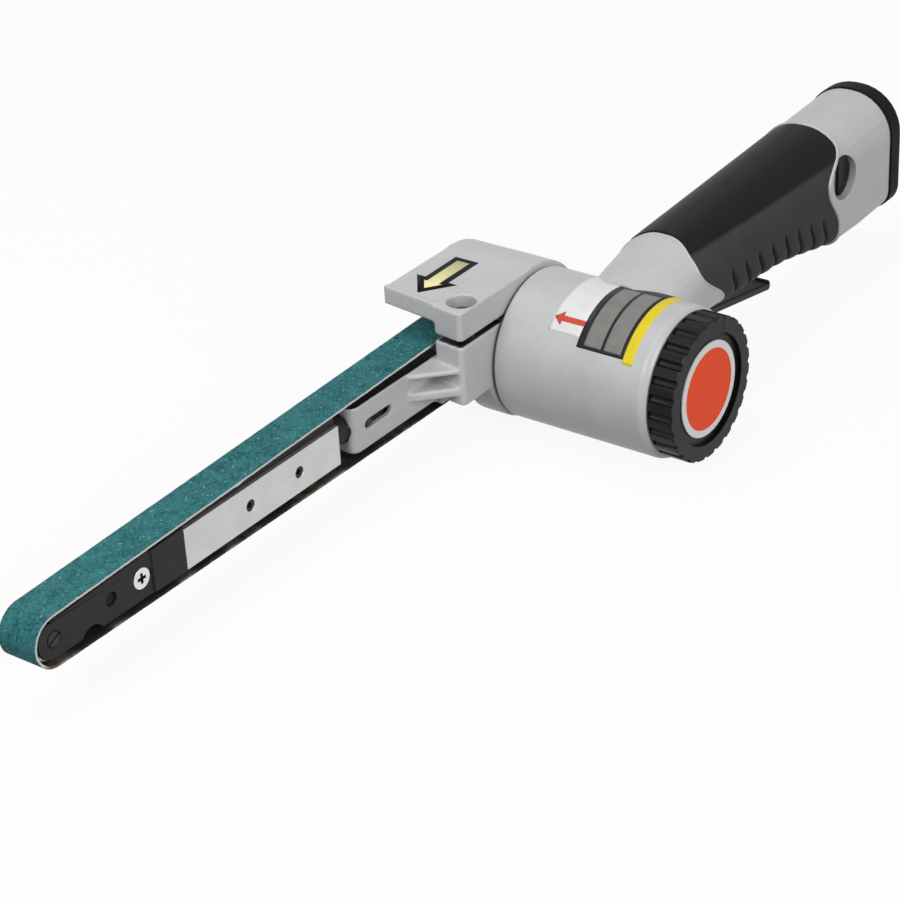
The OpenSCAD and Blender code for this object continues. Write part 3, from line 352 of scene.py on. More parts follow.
disc = {  # metres; axisTo brings the motor's axis to zero
    "axisTo": (0.156, 0, 0.013), "fieldR": 0.0126, "blur": 0.00006, "dots": 3200, "dotSpan": (0.35, 0.65),
    "fieldDark": (0.93, 0.074, 0.017), "fieldPale": (0.97, 0.094, 0.025),
    "rimDark": (0.8, 0.795, 0.78), "rimPale": (0.88, 0.875, 0.86),
    "rough": (0.36, 0.48), "gloss": 0.1, "bump": (0.15, 0.00002),
}
finishes["disc_print"] = discFinish(disc)


def gritFinish(grit):
    # crushed grain in a coloured bond: cells of close tones, pale flecks and a rough raised surface
    material, tree, shader = startFinish("beltGrit")
    where = spot(tree)
    cells = put(tree, "ShaderNodeTexVoronoi", {"Scale": grit["cells"], "Randomness": 1.0})
    tree.links.new(where, cells.inputs["Vector"])
    hue = put(tree, "ShaderNodeSeparateColor")
    tree.links.new(cells.outputs["Color"], hue.inputs[0])
    patches = speckle(tree, where, *grit["patches"])
    tone = blendColours(tree, hue.outputs[0], grit["dark"], grit["pale"])
    wear = remap(tree, patches, *grit["wornSpan"], 0.0, grit["wornMost"])
    tone = blendColours(tree, wear, tone, grit["worn"])
    fleck = remap(tree, hue.outputs[1], grit["fleckFrom"], 1.0, 0.0, 1.0)
    tree.links.new(blendColours(tree, fleck, tone, grit["fleck"]), shader.inputs["Base Color"])
    tree.links.new(remap(tree, hue.outputs[2], 0.0, 1.0, *grit["rough"]), shader.inputs["Roughness"])
    shader.inputs["Specular IOR Level"].default_value = grit["gloss"]
    emboss(tree, shader, [
        (hue.outputs[0], *grit["stepBump"]), (cells.outputs["Distance"], *grit["grainBump"])])
    return material


grit = {  # patches: scale, detail and roughness of the worn places
    "cells": 1900, "dark": (0.007, 0.058, 0.064), "pale": (0.031, 0.18, 0.188),
    "patches": (170, 5.0, 0.7), "worn": (0.046, 0.2, 0.214), "wornSpan": (0.4, 0.64), "wornMost": 0.7,
    "fleck": (0.15, 0.38, 0.38), "fleckFrom": 0.965, "rough": (0.55, 0.9), "gloss": 0.14,
    "stepBump": (0.6, 0.00012), "grainBump": (0.4, 0.0001),
}
finishes["belt_grit"] = gritFinish(grit)


def clothFinish(name, cloth):
    # fine crossed threads over a mottled glue coat, with the lower run of the loop in darker tones with paler
    # patches
    material, tree, shader = startFinish(name)
    where = spot(tree)
    split = put(tree, "ShaderNodeSeparateXYZ")
    tree.links.new(where, split.inputs[0])
    threads = {"Scale": cloth["threads"], "Distortion": cloth["waver"]}
    warp = put(tree, "ShaderNodeTexWave", threads, bands_direction="X")
    weft = put(tree, "ShaderNodeTexWave", threads, bands_direction="Y")
    tree.links.new(where, warp.inputs["Vector"])
    tree.links.new(where, weft.inputs["Vector"])
    weave = calc(tree, "MULTIPLY", warp.outputs["Fac"], weft.outputs["Fac"])
    clouds = speckle(tree, where, cloth["mottle"], mixing["cloudDetail"])
    share = calc(tree, "ADD", calc(tree, "MULTIPLY", weave, cloth["weaveShare"]),
                 calc(tree, "MULTIPLY", clouds, cloth["cloudShare"]))
    baseTone = blendColours(tree, share, cloth["dark"], cloth["pale"])
    spots = remap(tree, clouds, *cloth["lowerSpan"], 0.0, 1.0)
    lowerTone = blendColours(tree, spots, cloth["lowerDark"], cloth["lowerPale"])
    start, fade = cloth["lowerZ"], cloth["lowerFade"]
    lower = remap(tree, split.outputs["Z"], start - fade, start + fade, 1.0, 0.0, True)
    tree.links.new(blendColours(tree, lower, baseTone, lowerTone), shader.inputs["Base Color"])
    tree.links.new(remap(tree, clouds, *mixing["roughSpan"], *cloth["rough"]), shader.inputs["Roughness"])
    shader.inputs["Specular IOR Level"].default_value = cloth["gloss"]
    emboss(tree, shader, [(weave, *cloth["bump"])])
    return material


cloth = {
    "threads": 480.0, "waver": 0.6, "mottle": 90, "weaveShare": 0.4, "cloudShare": 0.6,
    "dark": (0.022, 0.016, 0.012), "pale": (0.075, 0.055, 0.038),
    "lowerDark": (0.012, 0.01, 0.009), "lowerPale": (0.09, 0.072, 0.055), "lowerSpan": (0.5, 0.66),
    "lowerZ": -0.0205, "lowerFade": 0.001, "rough": (0.75, 0.92), "gloss": 0.2, "bump": (0.4, 0.0001),
}
edge = dict(cloth, dark=(0.6, 0.6, 0.59), pale=(0.85, 0.85, 0.84),
            lowerDark=(0.014, 0.012, 0.01), lowerPale=(0.3, 0.26, 0.2))
backingCloth = clothFinish("beltCloth", cloth)
edgeCloth = clothFinish("beltEdge", edge)
filmWhite = plainFinish(
    "filmWhite", dark=(0.67, 0.668, 0.66), pale=(0.74, 0.738, 0.73), metal=0.0,
    rough=(0.3, 0.4), mottle=300, grain=2600, depth=0.00001, coat=0.06)
filmBlack = plainFinish(
    "filmBlack", dark=(0.012, 0.012, 0.013), pale=(0.022, 0.022, 0.023), metal=0.0,
    rough=(0.34, 0.46), mottle=300, grain=2600, depth=0.00001, gloss=0.14)
filmYellow = plainFinish(
    "filmYellow", dark=(0.68, 0.54, 0.012), pale=(0.77, 0.62, 0.024), metal=0.0,
    rough=(0.34, 0.44), mottle=300, grain=2600, depth=0.00001, gloss=0.2)
filmRed = plainFinish(
    "filmRed", dark=(0.54, 0.05, 0.025), pale=(0.62, 0.075, 0.035), metal=0.0,
    rough=(0.34, 0.44), mottle=300, grain=2600, depth=0.00001, gloss=0.2)
filmGrey = plainFinish(
    "filmGrey", dark=(0.17, 0.165, 0.158), pale=(0.22, 0.215, 0.205), metal=0.0,
    rough=(0.34, 0.46), mottle=300, grain=2600, depth=0.00001, gloss=0.25)
printCream = plainFinish(
    "printCream", dark=(0.82, 0.75, 0.36), pale=(0.9, 0.84, 0.46), metal=0.0,
    rough=(0.38, 0.5), mottle=260, grain=2400, depth=0.00002, gloss=0.25)
printBlack = plainFinish(
    "printBlack", dark=(0.004, 0.0036, 0.0034), pale=(0.008, 0.0075, 0.007), metal=0.0,
    rough=(0.46, 0.58), mottle=260, grain=2400, depth=0.00002, gloss=0.05)

slotOf = {part["node"]: part["material_slot"] for part in frame["record"]["subparts"]}
for name, node in nodes.items():
    node.data.materials.clear()
    node.data.materials.append(finishes[slotOf[name]])
print("finishes made:", len(bpy.data.materials))


def gridFaces(rows, columns, closedRows, closedColumns):
    # quads of a grid of points stored row by row, as one array
    i = np.arange(rows if closedRows else rows - 1)
    j = np.arange(columns if closedColumns else columns - 1)
    i, j = np.meshgrid(i, j, indexing="ij")
    iNext, jNext = (i + 1) % rows, (j + 1) % columns
    corners = [i * columns + j, iNext * columns + j, iNext * columns + jNext, i * columns + jNext]
    return np.stack(corners, -1).reshape(-1, 4)


def pieceFrom(name, points, faces, materials, faceMaterial=None, sharp=40.0, sheetT=0.0):
    # a closed form gets its faces turned outwards, a sheet keeps the facing of its grid and gets a thickness
    mesh = bpy.data.meshes.new(name)
    mesh.from_pydata(inPlace(points).reshape(-1, 3).tolist(), [], np.asarray(faces).tolist())
    for material in materials:
        mesh.materials.append(material)
    if faceMaterial is not None:
        mesh.polygons.foreach_set("material_index", np.asarray(faceMaterial, np.int32))
    if sheetT == 0:
        work = bmesh.new()
        work.from_mesh(mesh)
        bmesh.ops.recalc_face_normals(work, faces=work.faces)
        work.to_mesh(mesh)
        work.free()
    mesh.shade_smooth()
    mesh.set_sharp_from_angle(angle=math.radians(sharp))
    piece = bpy.data.objects.new(name, mesh)
    bpy.context.scene.collection.objects.link(piece)
    if sheetT > 0:
        body = piece.modifiers.new("body", "SOLIDIFY")
        body.thickness = sheetT / 1000.0
        body.offset = 1.0
    return piece


def seat(piece, body, slot, *replaced):
    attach(piece, body)
    if replaced:
        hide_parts(*replaced)


weldDistance = 0.000002  # metres
usualFlatness = 0.6  # degrees within which faces count as one
flatness = {"handle_body": 0.05, "motor_housing": 0.05, "end_cap": 0.05}  # the same, on round castings
clamped = ("handle_body", "lock_ring", "tip_axle", "fork_screw", "plate_screws", "cap_screws", "clamp_screw",
           "drive_pulley")


def softened(node, width, segments=2, blunt=33.0):
    # copy of a drawn solid with its edges broken by a small round
    mesh = nodes[node].data.copy()
    mesh.name = node + "Soft"
    work = bmesh.new()
    work.from_mesh(mesh)
    bmesh.ops.remove_doubles(work, verts=work.verts, dist=weldDistance)
    limit = math.radians(flatness.get(node, usualFlatness))
    bmesh.ops.dissolve_limit(work, angle_limit=limit, verts=work.verts, edges=work.edges)
    work.to_mesh(mesh)
    work.free()
    mesh.shade_smooth()
    mesh.set_sharp_from_angle(angle=math.radians(blunt))
    piece = bpy.data.objects.new(node + "Soft", mesh)
    bpy.context.scene.collection.objects.link(piece)
    if width > 0:
        edge = piece.modifiers.new("edge", "BEVEL")
        edge.width = width / 1000.0
        edge.segments = segments
        edge.limit_method = "ANGLE"
        edge.angle_limit = math.radians(blunt)
        edge.use_clamp_overlap = node in clamped
        edge.harden_normals = node not in flatness
    if node in flatness:
        even = piece.modifiers.new("even", "WEIGHTED_NORMAL")
        even.keep_sharp = True
    seat(piece, nodes[node]["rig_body"], slotOf[node], node)
    return piece


def shade(piece, material, low, high):
    # second material on the faces whose middle lies in a box, in drawing millimetres
    mesh = piece.data
    mesh.materials.append(material)
    middle = np.zeros(len(mesh.polygons) * 3)
    mesh.polygons.foreach_get("center", middle)
    middle = middle.reshape(-1, 3) * 1000.0 + toolZero
    inside = np.all((middle > low) & (middle < high), axis=1)
    mesh.polygons.foreach_set("material_index", inside.astype(np.int32) * (len(mesh.materials) - 1))


edgeRounds = {  # width of the broken edges in millimetres
    "motor_housing": 0.0, "handle_body": 0.3, "end_cap": 0.8, "lock_ring": 0.3, "end_disc": 0.1,
    "arm_bar": 0.4, "tip_fork": 0.4, "side_plate": 0.25, "lever": 0.6, "lever_pin": 0.3, "regulator": 0.3,
    "clamp_screw": 0.2, "cap_screws": 0.2, "plate_screws": 0.15, "fork_screw": 0.15, "tip_axle": 0.15,
    "guide_pin": 0.2, "inlet_bush": 0.3, "valve_bush": 0.2, "valve_stem": 0.2, "pulley_screw": 0.25,
    "pulley_washer": 0.15, "drive_pulley": 0.2, "tip_pulley": 0.15,
}
soft = {node: softened(node, width) for node, width in edgeRounds.items()}
castHead = {"voxel": 0.46, "rounds": 6, "share": 0.5}  # millimetres, and passes of smoothing


def makeHead():
    # drawn head laid on a fine even grid, then smoothed, so that its edges and inner corners get a cast round
    mesh = nodes["head"].data.copy()
    work = bmesh.new()
    work.from_mesh(mesh)
    bmesh.ops.remove_doubles(work, verts=work.verts, dist=weldDistance)
    work.to_mesh(mesh)
    work.free()
    piece = bpy.data.objects.new("headCasting", mesh)
    bpy.context.scene.collection.objects.link(piece)
    grid = piece.modifiers.new("grid", "REMESH")
    grid.mode = "VOXEL"
    grid.voxel_size = castHead["voxel"] / 1000.0
    grid.use_smooth_shade = True
    ease = piece.modifiers.new("ease", "SMOOTH")
    ease.factor = castHead["share"]
    ease.iterations = castHead["rounds"]
    return piece


seat(makeHead(), "head", slotOf["head"], "head")
print("head cast")
recess = {"below": 0.65, "half": (1.7, 0.62, 1.7)}  # cross recess of the fork's screw, painted black as shade
screwBox = np.array(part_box("fork_screw")) * 1000.0 + toolZero
crossMiddle = np.array([screwBox[:, 0].mean(), screwBox[0, 1] + recess["below"], screwBox[:, 2].mean()])
# painted shade: black paint on the faces inside the screw's cross recess
shade(soft["fork_screw"], finishes["black_paint"], crossMiddle - recess["half"], crossMiddle + recess["half"])
print("edges broken on", len(edgeRounds), "solids")


def smooth(t):
    # eased step from 0 to 1, level at both ends
    return (1.0 - np.cos(math.pi * np.clip(t, 0.0, 1.0))) / 2.0


grip = {
    "length": 145.5, "joinX": 28.0, "middleY": -46.8, "width": 31.0, "corner": 7.0, "crown": 14.5,
    "tops": (29.5, 35.7), "heights": (24.9, 40.0),
    "swellAt": (0.0, 0.1, 0.27, 0.42, 0.52, 0.63, 0.73, 0.85, 1.0),
    "swell": (0.0, 0.07, 0.2, 0.33, 0.5, 0.74, 0.92, 0.99, 1.0),
    "swellBlur": (-0.04, -0.02, 0.0, 0.02, 0.04),
    "front": {"x": 41.4, "steps": ((-13.7, 6.0, 15.5), (3.0, 25.0, 6.0))},  # each step: way, height, span
    "rear": {"x": 103.6, "steps": ((11.0, 19.5, 11.0), (7.6, 19.5, -16.5))},
    "proud": 0.5, "lip": 0.7, "lipShares": (0.0, 0.08, 0.2, 0.38, 0.6, 0.85, 1.0), "inner": -2.6,
    "creaseZ": 26.0, "creaseDrop": 0.25, "creaseSpan": 0.9,
    "grooves": 8, "firstGroove": 103.6, "pitch": 8.1, "grooveHalf": 1.3, "grooveThin": 0.35,
    "grooveDepth": 1.5, "grooveUp": 14.0, "grooveFade": 6.0, "lean": 0.48, "leanFrom": 6.0, "pillow": 0.3,
    "steps": 260, "innerSteps": 18, "settle": 12,
    "crownSteps": 40, "topSteps": 2, "sideSteps": 14, "cornerSteps": 18, "underSteps": 12,
}


def handleShape(x):
    # top and height of the handle: straight top line, height swelling by a softened table of shares
    along = (x - grip["joinX"]) / (grip["length"] - grip["joinX"])
    near = [np.interp(along + way, grip["swellAt"], grip["swell"]) for way in grip["swellBlur"]]
    swell = sum(near) / len(near)
    top = grip["tops"][0] + (grip["tops"][1] - grip["tops"][0]) * along
    return top, grip["heights"][0] + (grip["heights"][1] - grip["heights"][0]) * swell


def handlePoint(x, ring, grow):
    # point on the rounded section, from the side of the middle, the share of the height and the angle
    # round the circle of the corner or the crown
    side, up, turn = ring
    top, height = handleShape(x)
    radius = grip["corner"] * (1.0 - up) + grip["crown"] * up
    y = grip["middleY"] + side * (grip["width"] / 2.0 - radius) + (radius + grow) * np.cos(turn)
    straight = height - grip["corner"] - grip["crown"]
    z = top - height + grip["corner"] + up * straight + (radius + grow) * np.sin(turn)
    return y, z


def handleRing():
    # crown, left side, left corner, underside, right corner and right side, as three arrays
    quarter = math.pi / 2.0
    def run(count, side, up, turn):
        t = np.arange(count) / count
        return np.stack([a + (b - a) * t for a, b in (side, up, turn)])
    return np.concatenate([
        run(grip["crownSteps"], (1, 1), (1, 1), (0, quarter)),
        run(grip["topSteps"], (1, -1), (1, 1), (quarter, quarter)),
        run(grip["crownSteps"], (-1, -1), (1, 1), (quarter, 2 * quarter)),
        run(grip["sideSteps"], (-1, -1), (1, 0), (2 * quarter, 2 * quarter)),
        run(grip["cornerSteps"], (-1, -1), (0, 0), (2 * quarter, 3 * quarter)),
        run(grip["underSteps"], (-1, 1), (0, 0), (3 * quarter, 3 * quarter)),
        run(grip["cornerSteps"], (1, 1), (0, 0), (3 * quarter, 4 * quarter)),
        run(grip["sideSteps"], (1, 1), (0, 1), (4 * quarter, 4 * quarter)),
    ], axis=1)


def gripEnd(end, ring):
    # line round the handle where the sleeve ends, found by repeating, since the sections change along it
    x = np.full(ring.shape[1], end["x"])
    for again in range(grip["settle"]):
        z = handlePoint(x, ring, 0.0)[1]
        x = end["x"] + sum(way * smooth((z - height) / span) for way, height, span in end["steps"])
    return x


def makeGrip():
    # sleeve over the handle's sections between two curved ends, with rolled lips, a crease under the crown,
    # leaning finger grooves that run out up the side, and soft pillows between them
    ring = handleRing()
    front, rear = gripEnd(grip["front"], ring), gripEnd(grip["rear"], ring)
    lip = grip["lip"]
    lipSteps = (np.array(grip["lipShares"]) * lip)[:, None]
    middle = (front + lip) + (rear - front - 2 * lip) * np.linspace(0.0, 1.0, grip["steps"])[1:-1, None]
    x = np.concatenate([front + lipSteps, middle, rear - lipSteps[::-1]])
    edge = np.minimum(np.minimum(x - front, rear - x), lip)
    z = handlePoint(x, ring, 0.0)[1]
    top, height = handleShape(x)
    above = z - top + height
    fade = smooth((grip["grooveUp"] - above) / grip["grooveFade"])
    leaned = grip["firstGroove"] - (x + grip["lean"] * (above - grip["leanFrom"]))
    nearest = np.clip(np.round(leaned / grip["pitch"]), 0, grip["grooves"] - 1)
    off = np.abs(leaned - nearest * grip["pitch"])
    half = grip["grooveHalf"] * (grip["grooveThin"] + (1.0 - grip["grooveThin"]) * fade)
    notch = np.cos(math.pi / 2.0 * np.clip(off / half, 0.0, 1.0)) ** 2
    pillow = np.sin(math.pi * np.clip(off / grip["pitch"], 0.0, 0.5)) ** 2
    grow = grip["proud"] - (lip - np.sqrt(np.maximum(lip * lip - (lip - edge) ** 2, 0.0)))
    grow = grow - grip["creaseDrop"] * smooth((grip["creaseZ"] - z) / grip["creaseSpan"] + 0.5)
    grow = grow + fade * (grip["pillow"] * (pillow - 1.0) - grip["grooveDepth"] * notch)
    y, z = handlePoint(x, ring, grow)
    back = np.linspace(1.0, 0.0, grip["innerSteps"])[:, None]
    innerX = front + (rear - front) * back
    innerY, innerZ = handlePoint(innerX, ring, grip["inner"] + 0 * innerX)
    points = np.concatenate([np.stack([x, y, z], -1), np.stack([innerX, innerY, innerZ], -1)])
    faces = gridFaces(points.shape[0], points.shape[1], True, True)
    piece = pieceFrom("gripSleeve", points, faces, [finishes["grip_rubber"]], sharp=55.0)
    # painted shade for the grooves, stored as a point attribute
    shadeOf = np.concatenate([notch * fade, np.zeros(innerX.shape)]).astype(np.float32)
    piece.data.attributes.new("grooveShade", "FLOAT", "POINT").data.foreach_set("value", shadeOf.ravel())
    return piece


seat(makeGrip(), "housing", "grip_rubber", "grip")
print("grip sleeve moulded")

lipSides = 12
lips = {  # end of the grip, and the way off it, radius and rise in millimetres
    "frontLip": ("front", -0.4, 0.42, -0.22),
    "rearLip": ("rear", 0.65, 0.7, 0.12),
}


def makeLip(name, end, off, r, rise):
    # round bead carried along the end line of the grip, between the surface's normal and the cross line
    ring = handleRing()
    x = gripEnd(grip[end], ring) + off
    path = np.stack([x, *handlePoint(x, ring, rise)], -1)
    normal = np.stack([x, *handlePoint(x, ring, rise + 1.0)], -1) - path
    along = np.roll(path, -1, 0) - np.roll(path, 1, 0)
    across = np.cross(along, normal)
    across /= np.linalg.norm(across, axis=1, keepdims=True)
    turn = (2 * math.pi * np.arange(lipSides) / lipSides)[None, :, None]
    points = path[:, None] + r * (np.cos(turn) * normal[:, None] + np.sin(turn) * across[:, None])
    faces = gridFaces(len(path), lipSides, True, True)
    return pieceFrom(name, points, faces, [finishes["casting"]], sharp=70.0)


for name, shape in lips.items():
    seat(makeLip(name, *shape), "housing", "casting")
print("casting lips laid round the grip")


belt = {
    "driveR": 11.9, "tipR": 7.8, "tip": (-197.0, -1.9), "half": 6.5, "thick": 0.9, "round": 0.12,
    "fray": 0.05, "frayWidth": 0.6, "frayWaves": ((0.9, 0.0), (2.3, 1.0), (0.31, 2.0)),
    "spliceX": -124.0, "spliceUp": 0.28, "spliceHalf": 1.6,
    "driveSteps": 72, "runSteps": 240, "noseSteps": 56, "acrossSteps": 14,
}


def makeBelt():
    # band section carried round two circles and their outer tangents
    tip = np.array(belt["tip"])
    reach = np.hypot(*tip)
    facing = math.pi + math.atan2(-tip[1], -tip[0])
    wrap = math.acos((belt["driveR"] - belt["tipR"]) / reach)
    high, low = facing - wrap, facing + wrap
    arc, run, nose = (np.arange(belt[key]) / belt[key] for key in ("driveSteps", "runSteps", "noseSteps"))
    angle = np.concatenate([low + (high + 2 * math.pi - low) * arc, np.full(run.shape, high),
                            high + (low - high) * nose, np.full(run.shape, low)])
    share = np.concatenate([np.zeros(arc.shape), run, np.ones(nose.shape), 1.0 - run])
    radius = belt["driveR"] + (belt["tipR"] - belt["driveR"]) * share
    half, thick, corner = belt["half"], belt["thick"], belt["round"]
    count = belt["acrossSteps"]
    across = np.linspace(-half + corner, half - corner, count)
    width = np.concatenate([across, [half, half], across[::-1], [-half, -half]])
    depth = np.concatenate([np.zeros(count), [corner, thick - corner],
                            np.full(count, thick), [thick - corner, corner]])
    x = tip[0] * share + radius * np.cos(angle)
    step = np.arange(len(x))
    fray = belt["fray"] * sum(np.sin(step * rate + shift) for rate, shift in belt["frayWaves"]) / 2.0
    hump = np.exp(-((x - belt["spliceX"]) / belt["spliceHalf"]) ** 2)
    splice = belt["spliceUp"] * hump * (np.sin(angle) > 0)
    depth = depth[None, :] + splice[:, None] * (depth[None, :] > thick / 2)
    nearEdge = np.clip((np.abs(width) - half + belt["frayWidth"]) / belt["frayWidth"], 0.0, 1.0)
    y = width[None, :] - fray[:, None] * (nearEdge * np.sign(width))[None, :]
    r = radius[:, None] - depth
    points = np.stack([tip[0] * share[:, None] + r * np.cos(angle)[:, None], y,
                       tip[1] * share[:, None] + r * np.sin(angle)[:, None]], -1)
    faces = gridFaces(len(x), len(width), True, True)
    # grit, edge and cloth round the section
    kind = np.array([0] * count + [1] + [2] * (count + 1) + [1] + [0])
    material = np.tile(kind, len(x))
    coats = [finishes["belt_grit"], edgeCloth, backingCloth]
    return pieceFrom("beltBand", points, faces, coats, material, sharp=35.0)


seat(makeBelt(), "head", "belt_grit", "belt")
print("belt run round its pulleys")


wireForm = {"perTurn": 40, "sides": 14, "closing": 0.35, "point": 0.001}
coils = {
    "tensionCoil": {"node": "tension_spring", "body": "head", "slot": "spring_steel", "along": 0, "r": 3.6,
                    "wire": 0.9, "turns": 7, "joint": "arm_slide", "fixed": -39.3, "travel": 5.0},
    "valveCoil": {"node": "valve_spring", "body": "housing", "slot": "spring_steel", "along": 2, "r": 3.2,
                  "wire": 0.6, "turns": 5, "joint": "valve_slide", "fixed": 25.5, "travel": 1.5},
}


def makeCoil(name, coil):
    # round wire swept along a helix whose first and last turn lie closer, with its ends drawn to a point
    box = np.array(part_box(coil["node"])) * 1000.0 + toolZero
    along = coil["along"]
    start, length = box[0][along], box[1][along] - box[0][along]
    middle = (box[0] + box[1]) / 2.0
    t = np.linspace(0.0, 1.0, coil["turns"] * wireForm["perTurn"] + 1)
    rise = t + wireForm["closing"] / coil["turns"] * np.sin(2 * math.pi * t) / math.pi
    turn = 2 * math.pi * coil["turns"] * t
    wire = np.full(t.shape, coil["wire"] / 2.0)
    wire[[0, -1]] = wireForm["point"]
    tube = 2 * math.pi * np.arange(wireForm["sides"]) / wireForm["sides"]
    reach = coil["r"] + wire[:, None] * np.cos(tube)
    climb = start + coil["wire"] / 2.0 + (length - coil["wire"]) * rise[:, None]
    climb = climb + wire[:, None] * np.sin(tube)
    first, second = reach * np.cos(turn)[:, None], reach * np.sin(turn)[:, None]
    points = np.stack([climb, first + middle[1], second + middle[2]] if along == 0 else
                      [first + middle[0], second + middle[1], climb], -1)
    faces = gridFaces(len(t), wireForm["sides"], False, True)
    piece = pieceFrom(name, points, faces, [finishes[coil["slot"]]], sharp=60.0)
    seat(piece, coil["body"], coil["slot"], coil["node"])
    anchor = inPlace([coil["fixed"] if along == i else middle[i] for i in range(3)])
    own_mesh(piece)


for name, coil in coils.items():
    makeCoil(name, coil)
print("springs wound")


thread = {
    "mouth": 156.0, "middleZ": 13.0, "depth": 11.8, "inset": 0.3, "r": 5.88, "wall": 0.2,
    "height": 0.55, "pitch": 1.34, "crest": 1.4, "runIn": 1.2, "sides": 72, "rows": 110,
}


def makeThread():
    # inner face of a tube whose radius dips along a helix, closed behind by a plain wall
    turn = 2 * math.pi * np.arange(thread["sides"]) / thread["sides"]
    inset = thread["inset"]
    deep = np.linspace(0.0, thread["depth"] - 2 * inset, thread["rows"])
    x = thread["mouth"] - inset - deep[:, None] + 0 * turn
    helix = 2 * math.pi * (thread["mouth"] - x) / thread["pitch"] - turn
    ridge = (0.5 + 0.5 * np.cos(helix)) ** thread["crest"]
    ends = np.clip((thread["mouth"] - inset - x) / thread["runIn"], 0.0, 1.0)
    r = thread["r"] - thread["height"] * ridge * ends
    radius = np.concatenate([r, np.full((2, thread["sides"]), thread["r"] + thread["wall"])])
    x = np.concatenate([x, x[-1:], x[:1]])
    y = grip["middleY"] + radius * np.cos(turn)
    z = thread["middleZ"] + radius * np.sin(turn)
    faces = gridFaces(len(x), thread["sides"], True, True)
    return pieceFrom("inletThread", np.stack([x, y, z], -1), faces, [finishes["bright_steel"]], sharp=60.0)


seat(makeThread(), "housing", slotOf["inlet_bush"])
print("inlet thread cut")


film = {"thick": 0.05, "sharp": 30.0, "arrowColumns": 9, "point": 0.01, "kink": 0.001}  # millimetres, degrees


def filmFrom(name, points, material):
    # thin sheet on a grid of points
    faces = gridFaces(points.shape[0], points.shape[1], False, False)
    return pieceFrom(name, points, faces, [material], sharp=film["sharp"], sheetT=film["thick"])


def arrowSheet(stations, place):
    # arrow as a strip: at each station along it a half width, carried onto its surface by a placing function
    along, half = np.array(stations).T
    across = np.linspace(-1.0, 1.0, film["arrowColumns"])
    return place(along[:, None] + 0 * across, half[:, None] * across)


guardArrow = {
    "top": 24.7, "middleY": (0.2, 0.55), "tipX": -31.6, "barbX": -21.7, "tailX": -6.0,
    "head": 7.4, "shaft": 4.25, "line": 2.05, "lineLift": 0.02, "fieldLift": 0.08,
}


def makeGuardArrow(g):
    slope = (g["middleY"][1] - g["middleY"][0]) / (g["tailX"] - g["tipX"])
    def onGuard(lift):
        def place(x, y):
            middle = g["middleY"][0] + slope * (x - g["tipX"])
            return np.stack([x, y + middle, np.full(x.shape, g["top"] + lift)], -1)
        return place
    lean = math.atan2(g["head"], g["barbX"] - g["tipX"])
    inTip = g["tipX"] + g["line"] / math.sin(lean)
    inBarb, inShaft = g["barbX"] - g["line"], g["shaft"] - g["line"]
    inHead = (inBarb - inTip) * math.tan(lean)
    point, kink = film["point"], film["kink"]
    outer = [(g["tipX"], point), (g["barbX"], g["head"]),
             (g["barbX"] + kink, g["shaft"]), (g["tailX"], g["shaft"])]
    inner = [(inTip, point), (inBarb, inHead), (inBarb + kink, inShaft), (g["tailX"] - g["line"], inShaft)]
    prints = (("guardArrowLine", outer, g["lineLift"], printBlack),
              ("guardArrowField", inner, g["fieldLift"], printCream))
    for name, stations, lift, material in prints:
        seat(filmFrom(name, arrowSheet(stations, onGuard(lift)), material), "head", "disc_print")


makeGuardArrow(guardArrow)
print("guard arrow printed")


label = {  # along the motor in millimetres, and degrees up from its front
    "r": 23.5,
    "fields": {
        "labelWhite": ((-36.3, -47.3), (42.5, 116.0), 0.02, filmWhite),
        "labelPanel": ((-47.3, -63.4), (35.5, 118.0), 0.02, filmBlack),
        "labelBand": ((-63.4, -66.9), (32.5, 126.0), 0.02, filmYellow),
        "labelLeft": ((-49.6, -55.4), (38.0, 100.0), 0.08, filmGrey),
        "labelRight": ((-56.4, -62.2), (38.0, 100.0), 0.08, filmGrey),
    },
    "arrow": [(-36.8, 0.02), (-39.6, 5.6), (-39.601, 2.2), (-47.3, 2.2)], "arrowTurn": 53.2, "arrowLift": 0.1,
    "rows": 10, "columns": 48,
}


def onMotor(lift):
    # wraps a length and an angle round the motor's barrel
    def place(y, degrees):
        turn, r = np.radians(degrees), label["r"] + lift
        return np.stack([-r * np.cos(turn), y, r * np.sin(turn)], -1)
    return place


def makeLabel():
    for name, ((y0, y1), (low, high), lift, material) in label["fields"].items():
        rows, columns = np.linspace(y1, y0, label["rows"]), np.linspace(low, high, label["columns"])
        y, degrees = np.meshgrid(rows, columns, indexing="ij")
        seat(filmFrom(name, onMotor(lift)(y, degrees), material), "housing", "disc_print")
    wrap = onMotor(label["arrowLift"])
    points = arrowSheet(label["arrow"], lambda y, half: wrap(y, half + label["arrowTurn"]))
    seat(filmFrom("labelArrow", points, filmRed), "housing", "disc_print")


makeLabel()
print("label laid on the motor")


studio = {
    "floorZ": cadBox[0][2] - 0.0005, "floorSide": 6.0, "floorTone": 0.8, "bounceTone": 0.14,
    "floorGlow": 0.92, "skyLight": 0.3,
}


